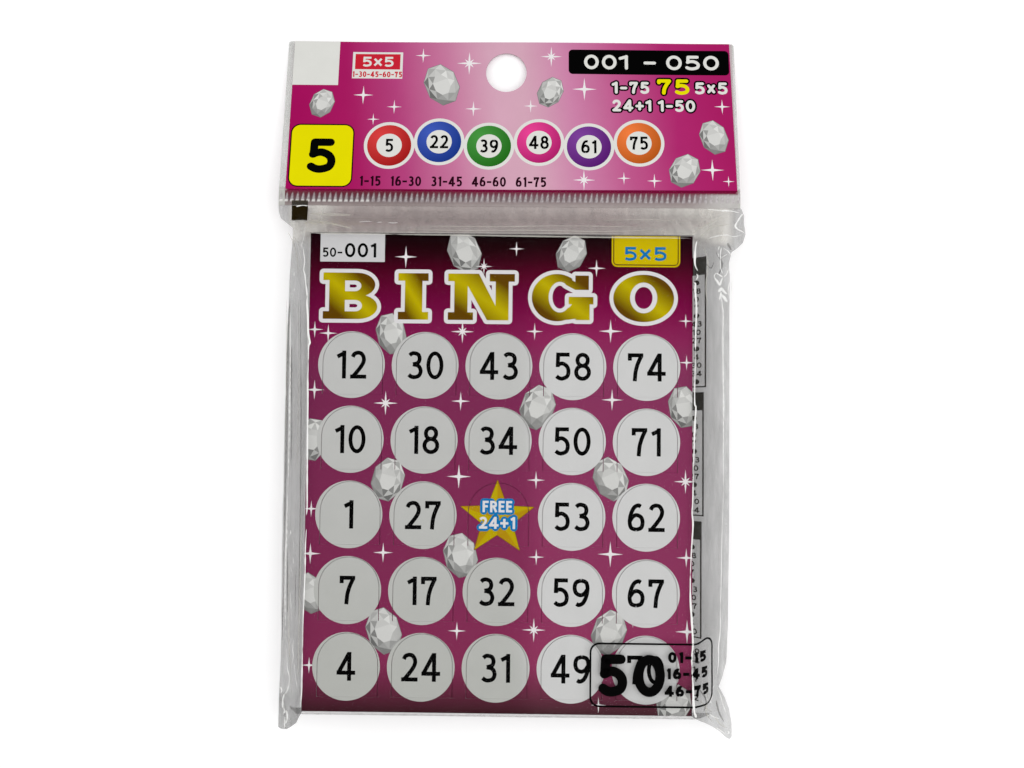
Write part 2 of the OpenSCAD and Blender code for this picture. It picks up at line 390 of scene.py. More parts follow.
# Plain figures and letters as pen strokes: a width, then strokes with their points, in hundredths of a box
# one high and one wide. A ring has its middle and its radii.
SIX = [
    ("curve", 86, 95, 66, 100, 36, 92, 12, 68, 0, 34, 12, 8, 50, 0),
    ("curve", 50, 0, 88, 8, 100, 30, 88, 51, 54, 60, 24, 53, 4, 38),
]
FIGURES = {
    "0": (61, ("ring", 50, 50, 50, 50)),
    "1": (36, ("line", 92, 0, 92, 100), ("curve", 96, 98, -20, 83)),
    "2": (58, ("curve", 3, 82, 16, 94, 44, 100, 74, 96, 93, 80, 92, 62, 72, 42, 38, 19, 7, 0),
          ("line", 0, 0, 100, 0)),
    "3": (57, ("curve", 6, 91, 24, 98.5, 46, 100, 78, 94, 90, 77, 76, 60, 34, 53.5),
          ("curve", 34, 53.5, 80, 47, 100, 27, 86, 7, 50, 0, 22, 2, 0, 10)),
    "4": (66, ("curve", 70, 104, 0, 25), ("line", 0, 24, 100, 24), ("line", 72, 0, 72, 100)),
    "5": (57, ("line", 14, 100, 92, 100), ("line", 13, 100, 10, 56),
          ("curve", 7, 55, 30, 61.5, 56, 62, 88, 50, 100, 30, 88, 9, 50, 0, 22, 2, 0, 10)),
    "6": (60, *SIX),
    "7": (56, ("line", 0, 100, 98, 100), ("line", 0, 100, 0, 86), ("tail", 98, 98, 68, 64, 50, 32, 44, 0)),
    "8": (60, ("ring", 50, 77, 40, 23), ("ring", 50, 27, 50, 27)),
    "9": (60, *[(kind, *[100 - n for n in numbers]) for kind, *numbers in SIX]),
    "F": (50, ("line", 0, 0, 0, 100), ("line", 0, 100, 100, 100), ("line", 0, 52, 80, 52)),
    "R": (58, ("line", 0, 0, 0, 100), ("curve", 0, 100, 50, 100, 90, 90, 96, 74, 86, 56, 0, 48),
          ("tail", 50, 50, 98, 0)),
    "E": (50, ("line", 0, 0, 0, 100), ("line", 0, 100, 100, 100), ("line", 0, 52, 85, 52),
          ("line", 0, 0, 100, 0)),
    "-": (46, ("line", 0, 46, 100, 46)),
    "x": (50, ("line", 5, 12, 95, 78), ("line", 5, 78, 95, 12)),
    "+": (56, ("line", 0, 46, 100, 46), ("line", 50, 12, 50, 80)),
    " ": (30,),
}
CAPS = {"line": ("square", "square"), "curve": ("butt", "butt"), "tail": ("butt", "square")}
FIGURE_GAP_SHARE = 0.13


def figure_outlines(text, cx, cy, height, weight_share, wide=1.0, halo=0.0, round_ends=False):
    """Outlines of a line of figures about a middle point. A halo makes each stroke wider at both sides."""
    weight = weight_share * height
    gap = FIGURE_GAP_SHARE * height * wide
    widths = [FIGURES[c][0] / 100 * height * wide for c in text]
    left = cx - (sum(widths) + gap * (len(text) - 1)) / 2
    y0 = cy - height / 2 + weight / 2
    result = []
    for character, width in zip(text, widths):
        x0 = left + weight / 2
        for kind, *numbers in FIGURES[character][1:]:
            spots = [(x / 100 * (width - weight), y / 100 * (height - weight)) for x, y in paired(numbers)]
            if kind == "ring":
                (x, y), (rx, ry) = spots
                result += ring_halves(x0 + x, y0 + y, rx, ry, weight + 2 * halo)
                continue
            line = [(x0 + x, y0 + y) for x, y in spots]
            ends = ("round", "round") if round_ends or halo else CAPS[kind]
            result.append(stroke(line if kind == "line" else smooth_line(line), weight + 2 * halo, *ends))
        left += width + gap
    return result


def bowl(x0, x1, y0, y1, turn_x):
    """An outline that is straight at its left and round at its right."""
    return [(x0, y0), *arc(turn_x, (y0 + y1) / 2, x1 - turn_x, (y1 - y0) / 2, -90, 90, 14), (x0, y1)]


def slabs(*spans):
    """Slabs at the foot or the top of a letter, each from x0 to x1."""
    return [rect(x0, y0, x1, y0 + SLAB) for x0, x1, y0 in spans]


# The column letters: a width share, filled outlines, then holes with the ground that shows in them
SLAB = 0.165
TOP_SLAB = 1 - SLAB
LETTERS = {
    "B": (1.17, [rect(0.13, 0, 0.47, 1), *slabs((0, 0.4, TOP_SLAB), (0, 0.4, 0)),
                 bowl(0.3, 1.12, 0.48, 1, 0.74), bowl(0.3, 1.17, 0, 0.53, 0.76)],
          [(bowl(0.47, 0.82, 0.6, 0.83, 0.68), bowl(0.57, 0.72, 0.68, 0.745, 0.67)),
           (bowl(0.47, 0.84, 0.165, 0.41, 0.69), bowl(0.57, 0.74, 0.25, 0.325, 0.68))]),
    "I": (0.65, [rect(0.145, 0, 0.52, 1), *slabs((0, 0.65, TOP_SLAB), (0, 0.65, 0))], []),
    "N": (1.43, [rect(0.135, 0, 0.42, 1), *slabs((0, 0.4, TOP_SLAB), (0, 0.54, 0)), rect(1.02, 0, 1.3, 1),
                 *slabs((0.89, 1.43, TOP_SLAB)),
                 [(0.14, 1), (0.2, 0.6), (0.42, 0.74), (0.84, 0), (1.2, 0), (1.2, 0.1), (1.04, 0.27),
                  (0.66, 1)]], []),
    "G": (1.32, [arc(0.54, 0.5, 0.54, 0.51, 52, 318, 36) + arc(0.6, 0.51, 0.24, 0.33, 318, 52, 30),
                 rect(0.93, 0.67, 1.22, 0.98), rect(0.79, 0.36, 1.32, 0.52), rect(0.94, 0.02, 1.24, 0.45),
                 [(0.7, 0.97), (0.72, 0.78), (0.93, 0.67), (1.0, 0.8)],
                 [(0.72, 0.2), (0.75, 0.02), (1.0, 0.06), (1.0, 0.4), (0.9, 0.4)]], []),
    "O": (1.3, [ellipse(0.65, 0.5, 0.65, 0.51, 60)],
          [(ellipse(0.65, 0.51, 0.29, 0.33), ellipse(0.65, 0.51, 0.19, 0.235))]),
}


def guide_lines(columns, rows):
    """Long lines at places along X and along Y."""
    return ([((x, -GUIDE_REACH), (x, GUIDE_REACH)) for x in columns]
            + [((-GUIDE_REACH, y), (GUIDE_REACH, y)) for y in rows])


class Art:
    """Print: closed outlines, each over those before it, with an ink, which is a colour or a colour of a
    place. The mesh is cut along its guides too, so that the colours of a place can change there."""

    def __init__(self, columns=(), rows=()):
        self.shapes = []
        self.guides = guide_lines(columns, rows)

    def add(self, ink, *outlines):
        self.shapes += [(outline, ink) for outline in outlines]

    def text(self, ink, text, *how, **more):
        self.add(ink, *figure_outlines(text, *how, **more))

    def sparkle(self, cx, cy, reach, rays=4):
        """A star of light with long pointed rays; of eight rays, each second one is short."""
        outline = []
        valley = spoke(math.pi / rays, 0.17)
        for ray in range(rays):
            tip = 0.5 if rays == 8 and ray % 2 else 1.0
            points = [(0.36 * tip, -0.075), (tip, 0.0), (0.36 * tip, 0.075), (valley.x, valley.y)]
            outline += moved(points, cx, cy, reach, 90 + 360 * ray / rays)
        self.add(SPARK, outline)

    def gem(self, cx, cy, width, height, turn):
        """A cut stone seen from above: a rim of bevels, a crown of facets and a flat table."""
        sides = 8
        step = 360 / sides
        light = 60

        def ring(share, start):
            return arc(0, 0, width / 2 * share, height / 2 * share, start, start + 360, sides)[:-1]

        def facet(corners, angle, base, depth, salt):
            shine = base + depth * math.cos(math.radians(angle - light + turn)) + salt
            level = 255 * min(max(shine, 0.42), 0.86)
            self.add(srgb(level, level, level * 0.985), moved(corners, cx, cy, 1.0, turn))

        rim, crown, table = ring(1.0, step / 2), ring(0.8, 0), ring(0.5, step / 2)
        self.add(STONE_RIM, moved(grown(rim, 0.1), cx, cy, 1.0, turn))
        for k in range(sides):
            angle = k * step
            salt = 0.09 * math.sin(5.1 * k + cx + 2 * cy)
            after = crown[(k + 1) % sides]
            facet([rim[k - 1], rim[k], crown[k]], angle, 0.66, 0.12, salt)
            facet([rim[k], after, crown[k]], angle + step / 2, 0.6, 0.14, -salt)
            facet([crown[k], after, table[k]], angle + step / 2, 0.73, 0.1, salt)
            facet([table[k - 1], crown[k], table[k]], angle, 0.68, 0.14, -salt)
        facet(table, light, 0.82, 0.0, 0.0)
        facet(table[:4], light, 0.78, 0.0, 0.0)

    def letter(self, character, left):
        """A column letter in gold with a pale edge."""
        width, solid, holes = LETTERS[character]
        half_w, half_h = width * LETTER_H / 2, LETTER_H / 2
        x0, y0 = left + half_w, LETTER_LOW + half_h

        def place(outline):
            return moved(outline, left, LETTER_LOW, LETTER_H)

        def gold(x, y):
            lean = (x - x0) / half_w + (y - y0) / half_h
            return mixed(BRIGHT_GOLD, DARK_GOLD, (abs(lean) / 1.2) ** 1.1)

        self.add(PALE, *[grown(place(s), LETTER_EDGE) for s in solid])
        self.add(gold, *[place(s) for s in solid])
        for hole, ground in holes:
            self.add(PALE, place(hole))
            self.add(card_ground, place(ground))
        for shift in [k * 0.3 * half_w for k in range(-6, 7)]:
            self.guides.append(((x0 + shift - half_w, y0 + half_h), (x0 + shift + half_w, y0 - half_h)))

    def ball(self, cx, cy, colour, number):
        """A game ball: a white edge, a shaded body and a number on a white spot."""
        def body(x, y):
            lit = math.hypot(x - cx + BALL_R * 0.35, y - cy - BALL_R * 0.4) / BALL_R
            return mixed(mixed(colour, WHITE, 0.05), mixed(colour, DARK, 0.6), lit * 0.6)

        self.add(HEADER_WHITE, disc(cx, cy, BALL_R))
        self.add(body, *[disc(cx, cy, BALL_R * share) for share in (0.87, 0.74, 0.6)])
        self.add(HEADER_WHITE, disc(cx, cy, BALL_R * 0.5, 36))
        self.text(BLACK, number, cx, cy, BALL_R * 0.56, 0.17)


# The print of the cards. A stone has its place, width, height and turn, and a sparkle its place, reach and,
# if they aren't four, its number of rays. Words have their ink, text, middle, height, weight as a share of
# the height, and width factor.
NUMBERS = [
    [12, 30, 43, 58, 74],
    [10, 18, 34, 50, 71],
    [1, 27, 0, 53, 62],
    [7, 17, 32, 59, 67],
    [4, 24, 31, 49, 70],
]
CARD_OUTLINE = rect(-HALF_CARD_W, -HALF_CARD_H, HALF_CARD_W, HALF_CARD_H)
DISC_PITCH_X = 16.33
DISC_PITCH_Y = 16.5
DISC_X = -0.24
DISC_Y = -9.74
DISC_R = 7.4
FIGURE_H = 6.2
FIGURE_WEIGHT = 0.143
LETTER_PLACES = [("B", -39.5), ("I", -22.8), ("N", -11.7), ("G", 6.9), ("O", 24.95)]
LETTER_LOW = 33.4
LETTER_H = 10.35
LETTER_EDGE = 0.85
TAB_OUT = 40.3
TAB_IN = 25.9
TAB_LOW = 46.2
YELLOW_TAB = rounded(24.9, 45.9, 39.4, 56.0, 0.9)
TAB_WORDS = [
    (BLACK, "001", -31.3, TAB_LOW + 2.6, 3.2, 0.18, 1.2),
    (BLACK, "50-", -37.6, TAB_LOW + 2.1, 2.1, 0.18, 1.1),
    (LABEL_BLUE, "5x5", 32.0, 48.5, 3.1, 0.2, 1.6),
]
STAR_REACH = 8.4
STAR_DROP = 0.6
FREE_WORDS = [("FREE", 2.05, 2.5, 1.05), ("24+1", -1.5, 2.6, 1.2)]
CARD_GEMS = [
    (-8.2, 48.6, 7.2, 9.8, 24), (15.6, 48.4, 6.4, 8.6, -28), (-24.2, 30.2, 6.6, 9.4, 14),
    (8.4, 14.2, 7.6, 10.2, -20), (-41.2, 6.6, 6.8, 9.6, -8), (24.6, -1.4, 7.4, 10, 25),
    (-24.4, -2, 7.2, 9.8, -15), (40.6, 14.6, 6.8, 9.4, 10), (-8.2, -18.4, 7.4, 10, 14),
    (-41.2, -27, 6.6, 9.2, 22), (24.4, -34.8, 7.4, 10.2, -20), (-24.8, -35, 7.6, 10.4, 18),
    (38.6, -50, 7.4, 8.8, -32),
]
CARD_SPARKLES = [
    (-21.2, 47.4, 2.5), (3.4, 49.4, 1.7), (21.2, 45.2, 2), (-38.2, 30.2, 2), (-8.4, 30.8, 2.6, 8),
    (7.6, 31, 1.9), (24.4, 31.2, 2.6), (41, 33.6, 1.6), (-41.2, 31, 1.9), (-25.2, 14.8, 2.7, 8),
    (24.8, 16, 2.4), (-8.6, 15.4, 2.1), (-41, 17.6, 2.2), (41.2, 24.4, 1.7), (-8.8, -1.2, 2.7),
    (8.2, -1.8, 2), (41, -1.8, 2.6, 8), (-41.2, -8.6, 1.8), (24.6, -17.8, 2.8), (-25.2, -18, 2.2),
    (8.4, -18.6, 1.8), (41.2, -18.4, 2.1), (-41.2, -18.4, 2.3), (8, -34.4, 2.6, 8), (-8.8, -34.8, 2),
    (41.4, -34.4, 2.6), (-41, -42.6, 1.8), (22.2, -50.4, 1.7), (29.6, -31.6, 2.1, 8), (-20.4, 43.6, 1.2),
    (-3.8, 45.4, 1.9, 8),
]


def cells():
    """The middle and the number of each cell. The free one has 0."""
    for column in range(5):
        for row in range(5):
            x = (column - 2) * DISC_PITCH_X + DISC_X
            y = (2 - row) * DISC_PITCH_Y + DISC_Y
            yield x, y, NUMBERS[row][column]


def card_art():
    """The print of the top card: its stones and sparkles, tabs, letters, discs and free star."""
    art = Art((-40, -20, 2, 5, 7, 9, 12, 20, 40), range(-52, 53, 3))
    for stone in CARD_GEMS:
        art.gem(*stone)
    for sparkle in CARD_SPARKLES:
        art.sparkle(*sparkle)
    art.add(TAB_WHITE, rect(-TAB_OUT, TAB_LOW, -TAB_IN, HALF_CARD_H))
    for ink, growth in ((TAB_YELLOW, 0.35), (TAB_LINE, 0.0), (TAB_YELLOW, -0.22)):
        art.add(ink, grown(YELLOW_TAB, growth))
    for row in TAB_WORDS:
        art.text(*row)
    for character, left in LETTER_PLACES:
        art.letter(character, left)
    for x, y, number in cells():
        if number:
            art.add(card_paper, disc(x, y, DISC_R, 80))
            art.text(BLACK, str(number), x, y, FIGURE_H, FIGURE_WEIGHT)
        else:
            free_star(art, x, y)
    return art


def free_star(art, x, y):
    """The free middle cell: a gold star behind a blue label."""
    middle = (x, y - STAR_DROP)
    reaches = [STAR_REACH * share for share in (1.0, 0.42) * 5]
    outline = [tuple(Vector(middle) + spoke(math.pi * (k / 5 + 0.5), r)) for k, r in enumerate(reaches)]
    art.add(STAR_SHADE, grown(outline, 0.12))
    art.add(STAR_GOLD, outline)
    for tip in range(0, 10, 2):
        art.add(mixed(STAR_GOLD, BRIGHT_GOLD, 0.7), [outline[tip], outline[tip + 1], middle])
    for ink, halo in ((LABEL_BLUE, 0.55), (PALE, 0.0)):
        for text, rise, height, wide in FREE_WORDS:
            art.text(ink, text, x, y + rise, height, 0.2, wide, halo)


# The print of the header, with its stones, sparkles and words as on the card
BALL_R = 5.9
BALL_X = -28.0
BALL_Y = 11.5
BALL_PITCH = 11.6
BALL_SHIFT = 0.5
BALLS = [
    (srgb(214, 8, 6), "5"), (srgb(6, 66, 178), "22"), (srgb(30, 140, 10), "39"),
    (srgb(232, 24, 140), "48"), (srgb(112, 8, 146), "61"), (srgb(240, 112, 2), "75"),
]
HEADER_GEMS = [
    (-16.2, 26.6, 8, 11, 22), (-44.2, 21.6, 5.6, 7.4, -20), (9.4, 24.8, 5.8, 8, -24),
    (47.4, 13.6, 6.4, 8.8, 18), (40.4, 5.2, 6.8, 8.6, -30),
]
HEADER_SPARKLES = [
    (-20.8, 34.2, 1.9), (-9.8, 32.2, 3, 8), (-34.6, 23.8, 2.4), (-27.2, 20.8, 1.8), (-8.6, 20.4, 2),
    (9.6, 34, 2.6, 8), (17.4, 25.6, 2.9), (4.8, 21.2, 1.7), (49.6, 21.4, 1.9), (46.8, 5.4, 2.7),
    (33.4, 2.6, 1.8), (17.2, 2.7, 2.6, 8), (26.4, 3.2, 1.6), (-32, 17.6, 1.5), (50.4, 2.6, 1.4),
]
HEADER_BLOCKS = [
    (FOLD_MAGENTA, [(PRINT_LEFT, -1), (PRINT_RIGHT, -1), (PRINT_RIGHT, SLANT), (PRINT_LEFT, 0)]),
    (HEADER_WHITE, rect(-52.2, 26.3, -40.7, HEADER_H + 1)),
    (HEADER_WHITE, rect(-37.5, 28.1, -25.6, 35.0)),
    (RED, rect(-36.9, 30.5, -26.2, 34.5)),
    (BLACK, rounded(-51.1, 0.5, -36.2, 16.3, 2.3)),
    (YELLOW, rounded(-50.8, 0.8, -36.5, 16.0, 2.0)),
    (BLACK, rounded(13.7, 29.5, 51.6, 35.9, 1.0)),
]
THIN_WORDS = [
    (HEADER_WHITE, "5x5", -31.5, 32.5, 2.6, 0.2, 1.5),
    (RED, "1-30-45-60-75", -31.55, 29.2, 1.5, 0.2, 0.92),
    (DARK_TEXT, "1-15  16-30  31-45  46-60  61-75", -13.0, 2.1, 2.45, 0.19, 0.93),
]
ROUND_WORDS = [
    (BLACK, "5", -43.6, 8.3, 8.6, 0.22, 1.35),
    (HEADER_WHITE, "001", 22.6, 32.7, 3.8, 0.2, 1.5),
    (HEADER_WHITE, "-", 32.9, 32.7, 3.8, 0.2, 1.7),
    (HEADER_WHITE, "050", 43.0, 32.7, 3.8, 0.2, 1.6),
]
EDGED_WORDS = [
    (HEADER_WHITE, "1-75", 28.3, 26.1, 3.1, 0.22, 1.2),
    (YELLOW, "75", 38.3, 26.4, 4.0, 0.22, 1.5),
    (HEADER_WHITE, "5x5", 47.2, 26.1, 3.1, 0.22, 1.3),
    (HEADER_WHITE, "24+1", 28.5, 21.5, 3.0, 0.22, 1.2),
    (HEADER_WHITE, "1-50", 39.0, 21.5, 3.0, 0.22, 1.2),
]


def header_art(plain):
    """The print of the header. A plain one, for its back, has the ground, stones and sparkles alone."""
    art = Art(range(-51, 53, 3), (10, 20, 30))
    for stone in HEADER_GEMS:
        art.gem(*stone)
    for sparkle in HEADER_SPARKLES:
        art.sparkle(*sparkle)
    if plain:
        return art
    for ink, outline in HEADER_BLOCKS:
        art.add(ink, outline)
    for k, (colour, number) in enumerate(BALLS):
        art.ball(BALL_X + BALL_PITCH * k, BALL_Y + (BALL_SHIFT if k % 2 else -BALL_SHIFT), colour, number)
    for row in THIN_WORDS:
        art.text(*row)
    for ink, *row in EDGED_WORDS:
        art.text(BLACK, *row, halo=0.42)
    for row in ROUND_WORDS + EDGED_WORDS:
        art.text(*row, round_ends=True)
    return art


# Meshes

def cut_up(outline, holes, shapes, guides, spots=()):
    """Points and triangles that fill an outline, without its holes, cut along the printed shapes and the
    guides, with more points at the spots. The third list has the number of the topmost shape that each
    triangle lies in, counted from 1, or 0."""
    points, rings, edges = [], [], []
    for ring in [outline, *holes, *shapes]:
        rings.append(list(range(len(points), len(points) + len(ring))))
        points += ring if area(ring) > 0 else ring[::-1]
    for line in guides:
        edges.append((len(points), len(points) + 1))
        points += line
    points = [Vector(p) for p in (*points, *spots)]
    found = geometry.delaunay_2d_cdt(points, edges, rings, 1, MERGE, True)
    kept = [(corners, max(owner)) for corners, owner in zip(found[2], found[5])
            if 0 in owner and not any(0 < k <= len(holes) for k in owner)]
    used = sorted({v for corners, top in kept for v in corners})
    number = {v: k for k, v in enumerate(used)}
    faces = [[number[v] for v in (corners if area([found[0][v] for v in corners]) > 0 else corners[::-1])]
             for corners, top in kept]
    return [found[0][v] for v in used], faces, [max(0, top - len(holes)) for corners, top in kept]


def closed(tops, count):
    """Faces of a closed shell: the given upper ones, the same below, and the walls round their rim."""
    ways = {way for face in tops for way in around(face)}
    below = [[count + v for v in face[::-1]] for face in tops]
    return tops + below + [[count + a, count + b, b, a] for a, b in sorted(ways) if (b, a) not in ways]


def sheet(columns, rows, place):
    """Points and faces of a thin closed sheet of squares. Place gives the point at a column and a row, at
    side 1 for its upper face and -1 for its lower one."""
    wide = columns + 1
    points = [place(i, j, side) for side in (1, -1) for j in range(rows + 1) for i in range(wide)]
    corners = [j * wide + i for j in range(rows) for i in range(columns)]
    return points, closed([[k, k + 1, k + 1 + wide, k + wide] for k in corners], wide * (rows + 1))


def placed(name, data):
    """A new object in the scene."""
    thing = bpy.data.objects.new(name, data)
    bpy.context.scene.collection.objects.link(thing)
    return thing


def new_piece(name, points, faces, body, slot, looks, node=None, smooth=False, kinds=None, colours=None):
    """A mesh piece that rides on a body. Kinds has the number of each face's material in looks, and
    colours has the ink of each corner of each face."""
    mesh = bpy.data.meshes.new(name)
    mesh.from_pydata([Vector(p) * MM for p in points], [], faces)
    mesh.polygons.foreach_set("use_smooth", [smooth] * len(mesh.polygons))
    if smooth:
        mesh.set_sharp_from_angle(angle=SHARP_ANGLE)
    if kinds:
        mesh.polygons.foreach_set("material_index", kinds)
    mesh.update()
    if colours:
        layer = mesh.color_attributes.new("ink", "FLOAT_COLOR", "CORNER")
        layer.data.foreach_set("color", [v for colour in colours for v in (*colour, 1.0)[:4]])
    for look in looks:
        mesh.materials.append(look)
    piece = placed(name, mesh)
    if body:
        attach(piece, body)
    if node:
        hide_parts(node)
    return piece


def box_of(outline):
    xs, ys = zip(*outline)
    return min(xs), min(ys), max(xs), max(ys)


def near(box, outline):
    """True if an outline may reach into a box."""
    x0, y0, x1, y1 = box_of(outline)
    return x0 < box[2] and x1 > box[0] and y0 < box[3] and y1 > box[1]


def plate(name, outline, place, art, ground, back, edge, body, slot, looks, node=None, holes=(),
          smooth=False, windows=()):
    """A closed thin plate with a printed face. Place gives the point of the plate at (x, y), at height
    share 1 for its face and 0 for its back. The windows and the walls beside them get the second look."""
    box = box_of(outline)
    printed = [s for s in art.shapes if near(box, s[0])]
    shapes = [s for s, ink in printed] + list(windows)
    flat, tops, owners = cut_up(outline, holes, shapes, [g for g in art.guides if near(box, g)])
    inks = [ground, *[ink for s, ink in printed], *[back] * len(windows)]
    faces = closed(tops, len(flat))
    walls = len(faces) - 2 * len(tops)
    colours = []
    for corners, owner in zip(tops, owners):
        ink = inks[owner]
        colours += [ink(flat[v].x, flat[v].y) if callable(ink) else ink for v in corners]
    colours += [back] * 3 * len(tops) + [edge] * 4 * walls
    clear = [int(owner > len(printed)) for owner in owners]
    points = [place(p.x, p.y, share) for share in (1, 0) for p in flat]
    return new_piece(name, points, faces, body, slot, looks, node, smooth,
                     clear * 2 + [int(bool(windows))] * walls, colours)


# Materials

class Look:
    """The nodes of a material or of the world, with the few helpers that their looks need."""

    def __init__(self, owner, main):
        owner.use_nodes = True
        self.owner = owner
        self.tree = owner.node_tree
        self.main = self.tree.nodes[main]

    def fill(self, values, node=None):
        """Gives inputs of a node, or of the main one, their values or links them to another's output."""
        for key, value in values.items():
            socket = (node or self.main).inputs[key]
            if isinstance(value, bpy.types.NodeSocket):
                self.tree.links.new(value, socket)
            else:
                socket.default_value = value

    def node(self, kind, output, values, **settings):
        """An output of a new node."""
        node = self.tree.nodes.new("ShaderNode" + kind)
        for key, value in settings.items():
            setattr(node, key, value)
        self.fill(values, node)
        return node.outputs[output]

    def noise(self, per_metre, detail=3.0, rough=0.55, stretch=(1.0, 1.0, 1.0)):
        place = self.node("TexCoord", "Object", {})
        place = self.node("Mapping", "Vector", {"Vector": place, "Scale": stretch})
        values = {"Vector": place, "Scale": per_metre, "Detail": detail, "Roughness": rough}
        return self.node("TexNoise", "Fac", values)

    def ranged(self, value, low, high):
        return self.node("MapRange", "Result", {"Value": value, "To Min": low, "To Max": high})

    def ink(self, output="Color"):
        return self.node("Attribute", output, {}, attribute_name="ink")

    def shaded(self, colour, factor):
        """A colour multiplied by a grey value."""
        return self.node("VectorMath", "Vector", {0: colour, 1: factor}, operation="MULTIPLY")

    def bump(self, height, strength, distance):
        values = {"Height": height, "Strength": strength, "Distance": distance}
        self.fill({"Normal": self.node("Bump", "Normal", values)})


def surface(name, roughness, specular=0.5, alpha=1.0):
    """The look of a new material."""
    look = Look(bpy.data.materials.new(name), "Principled BSDF")
    look.fill({"Roughness": roughness, "IOR": 1.5, "Specular IOR Level": specular, "Alpha": alpha})
    return look


def printed_material(name, roughness, mottle, tooth, specular):
    """Ink on paper or film: the printed colour with a fine mottle, and the tooth of what it lies on."""
    look = surface(name, roughness, specular)
    fine = look.noise(5200.0, 2.0)
    soft = look.noise(160.0)
    tint = look.shaded(look.ink(), look.ranged(fine, 1.0 - mottle, 1.0 + mottle))
    look.fill({"Base Color": look.shaded(tint, look.ranged(soft, 0.95, 1.05)),
               "Roughness": look.ranged(soft, roughness - 0.06, roughness + 0.08)})
    look.bump(fine, tooth, 0.00002)
    return look.owner


def board_material():
    """Cut edges of thin board: pale fibres with a fine grain."""
    look = surface("board_edges", 0.85)
    grain = look.noise(2400.0, stretch=(1.0, 1.0, 6.0))
    look.fill({"Base Color": look.shaded(look.ink(), look.ranged(grain, 0.84, 1.1))})
    look.bump(grain, 0.5, 0.00004)
    return look.owner


def film_material(name, colour, alpha, roughness=0.1, ripple=0.3, stretch=(1.0, 1.0, 1.0), cloud=0.0,
                  specular=0.5):
    """Clear film: see-through, glossy and finely rippled. Cloud makes it thicker and thinner in streaks."""
    look = surface(name, roughness, specular, alpha)
    waves = look.noise(240.0, 4.0, 0.6, stretch)
    look.fill({"Base Color": (*colour, 1.0),
               "Roughness": look.ranged(waves, roughness * 0.6, roughness * 1.5)})
    if cloud:
        look.fill({"Alpha": look.ranged(waves, alpha * (1 - cloud), alpha * (1 + cloud))})
    look.bump(waves, ripple, 0.0006)
    return look.owner


def pouch_material():
    """The slack film, whose tint and density are stored with its faces and streaked a little."""
    look = surface("pouch_film", 0.12, 0.3)
    waves = look.noise(240.0, 4.0, 0.6, (3.0, 0.5, 1.0))
    values = {0: look.ink("Alpha"), 1: look.ranged(waves, 0.35, 1.65)}
    look.fill({"Base Color": look.shaded(look.ink(), look.ranged(waves, 0.8, 1.2)),
               "Alpha": look.node("Math", "Value", values, operation="MULTIPLY"),
               "Roughness": look.ranged(waves, 0.07, 0.18)})
    look.bump(waves, 0.45, 0.0006)
    return look.owner


def seal_material():
    """Crimped film: milky on the ribs and clearer between them."""
    look = surface("crimped_film", 0.22, 0.2, 0.9)
    grain = look.noise(900.0)
    look.fill({"Base Color": look.shaded(look.ink(), look.ranged(grain, 0.85, 1.15))})
    look.bump(grain, 0.25, 0.0001)
    return look.owner


# The cards

def on_card(x, y, share):
    """A point of the top card."""
    return CARD_X + x, CARD_Y + y, CARD_TOP - CARD_T * (1 - share)


def under_card(x, y, share):
    """A point of the second card."""
    return CARD_X + x, CARD_Y + y, STACK_HIGH.z - CARD_T * (1 - share)


def arch(x, fold_y, gap, below, tie=0.0):
    """The outline of a flap: straight sides and a round top. A tie narrows the gap at the top's middle."""
    r = FLAP_W / 2
    crown = arc(x, fold_y + FLAP_H - r, r + gap, r + gap, 0, 180, 40)
    crown = [(px, py - (gap - 0.03 if abs(px - x) < tie else 0.0)) for px, py in crown]
    return [(x - r - gap, fold_y - below), (x + r + gap, fold_y - below), *crown]


def make_cards():
    """The top card and its 25 flaps, which share one print."""
    looks = [printed_material("card_print", 0.5, 0.05, 0.35, 0.012)]
    art = card_art()
    windows = []
    for name in [f"flap_{letter}{row}" for letter in "bingo" for row in range(1, 6)]:
        low, high = node_box(name)
        x = (low.x + high.x) / 2 - CARD_X
        fold_y = low.y + CARD_T / 2 - CARD_Y
        windows.append(arch(x, fold_y, CUT_GAP, CARD_T / 2 + 0.02, 0.4))
        slot = "free_flap_print" if name == "flap_n3" else "flap_print"
        # The flaps' walls get the painted shade of the die cuts
        plate(f"{name}_leaf", arch(x, fold_y, 0.0, CARD_T / 2), on_card, art, card_ground, PAPER, CUT_EDGE_PAINTED_SHADE,
              f"{name}_leaf", slot, looks, name)
    plate("top_card_sheet", CARD_OUTLINE, on_card, art, card_ground, PAPER, BOARD_EDGE, "pack", "card_print",
          looks, "top_card", windows)


def make_second_card():
    """The card under the top one, whose print shows in the die cuts and under lifted flaps."""
    art = Art()
    art.add(card_paper, *[disc(x, y, DISC_R, 40) for x, y, number in cells() if number])
    plate("second_card", CARD_OUTLINE, under_card, art, card_ground, PAPER, BOARD_EDGE, "pack", "card_print",
          [printed_material("second_card_print", 0.5, 0.05, 0.35, 0.04)])


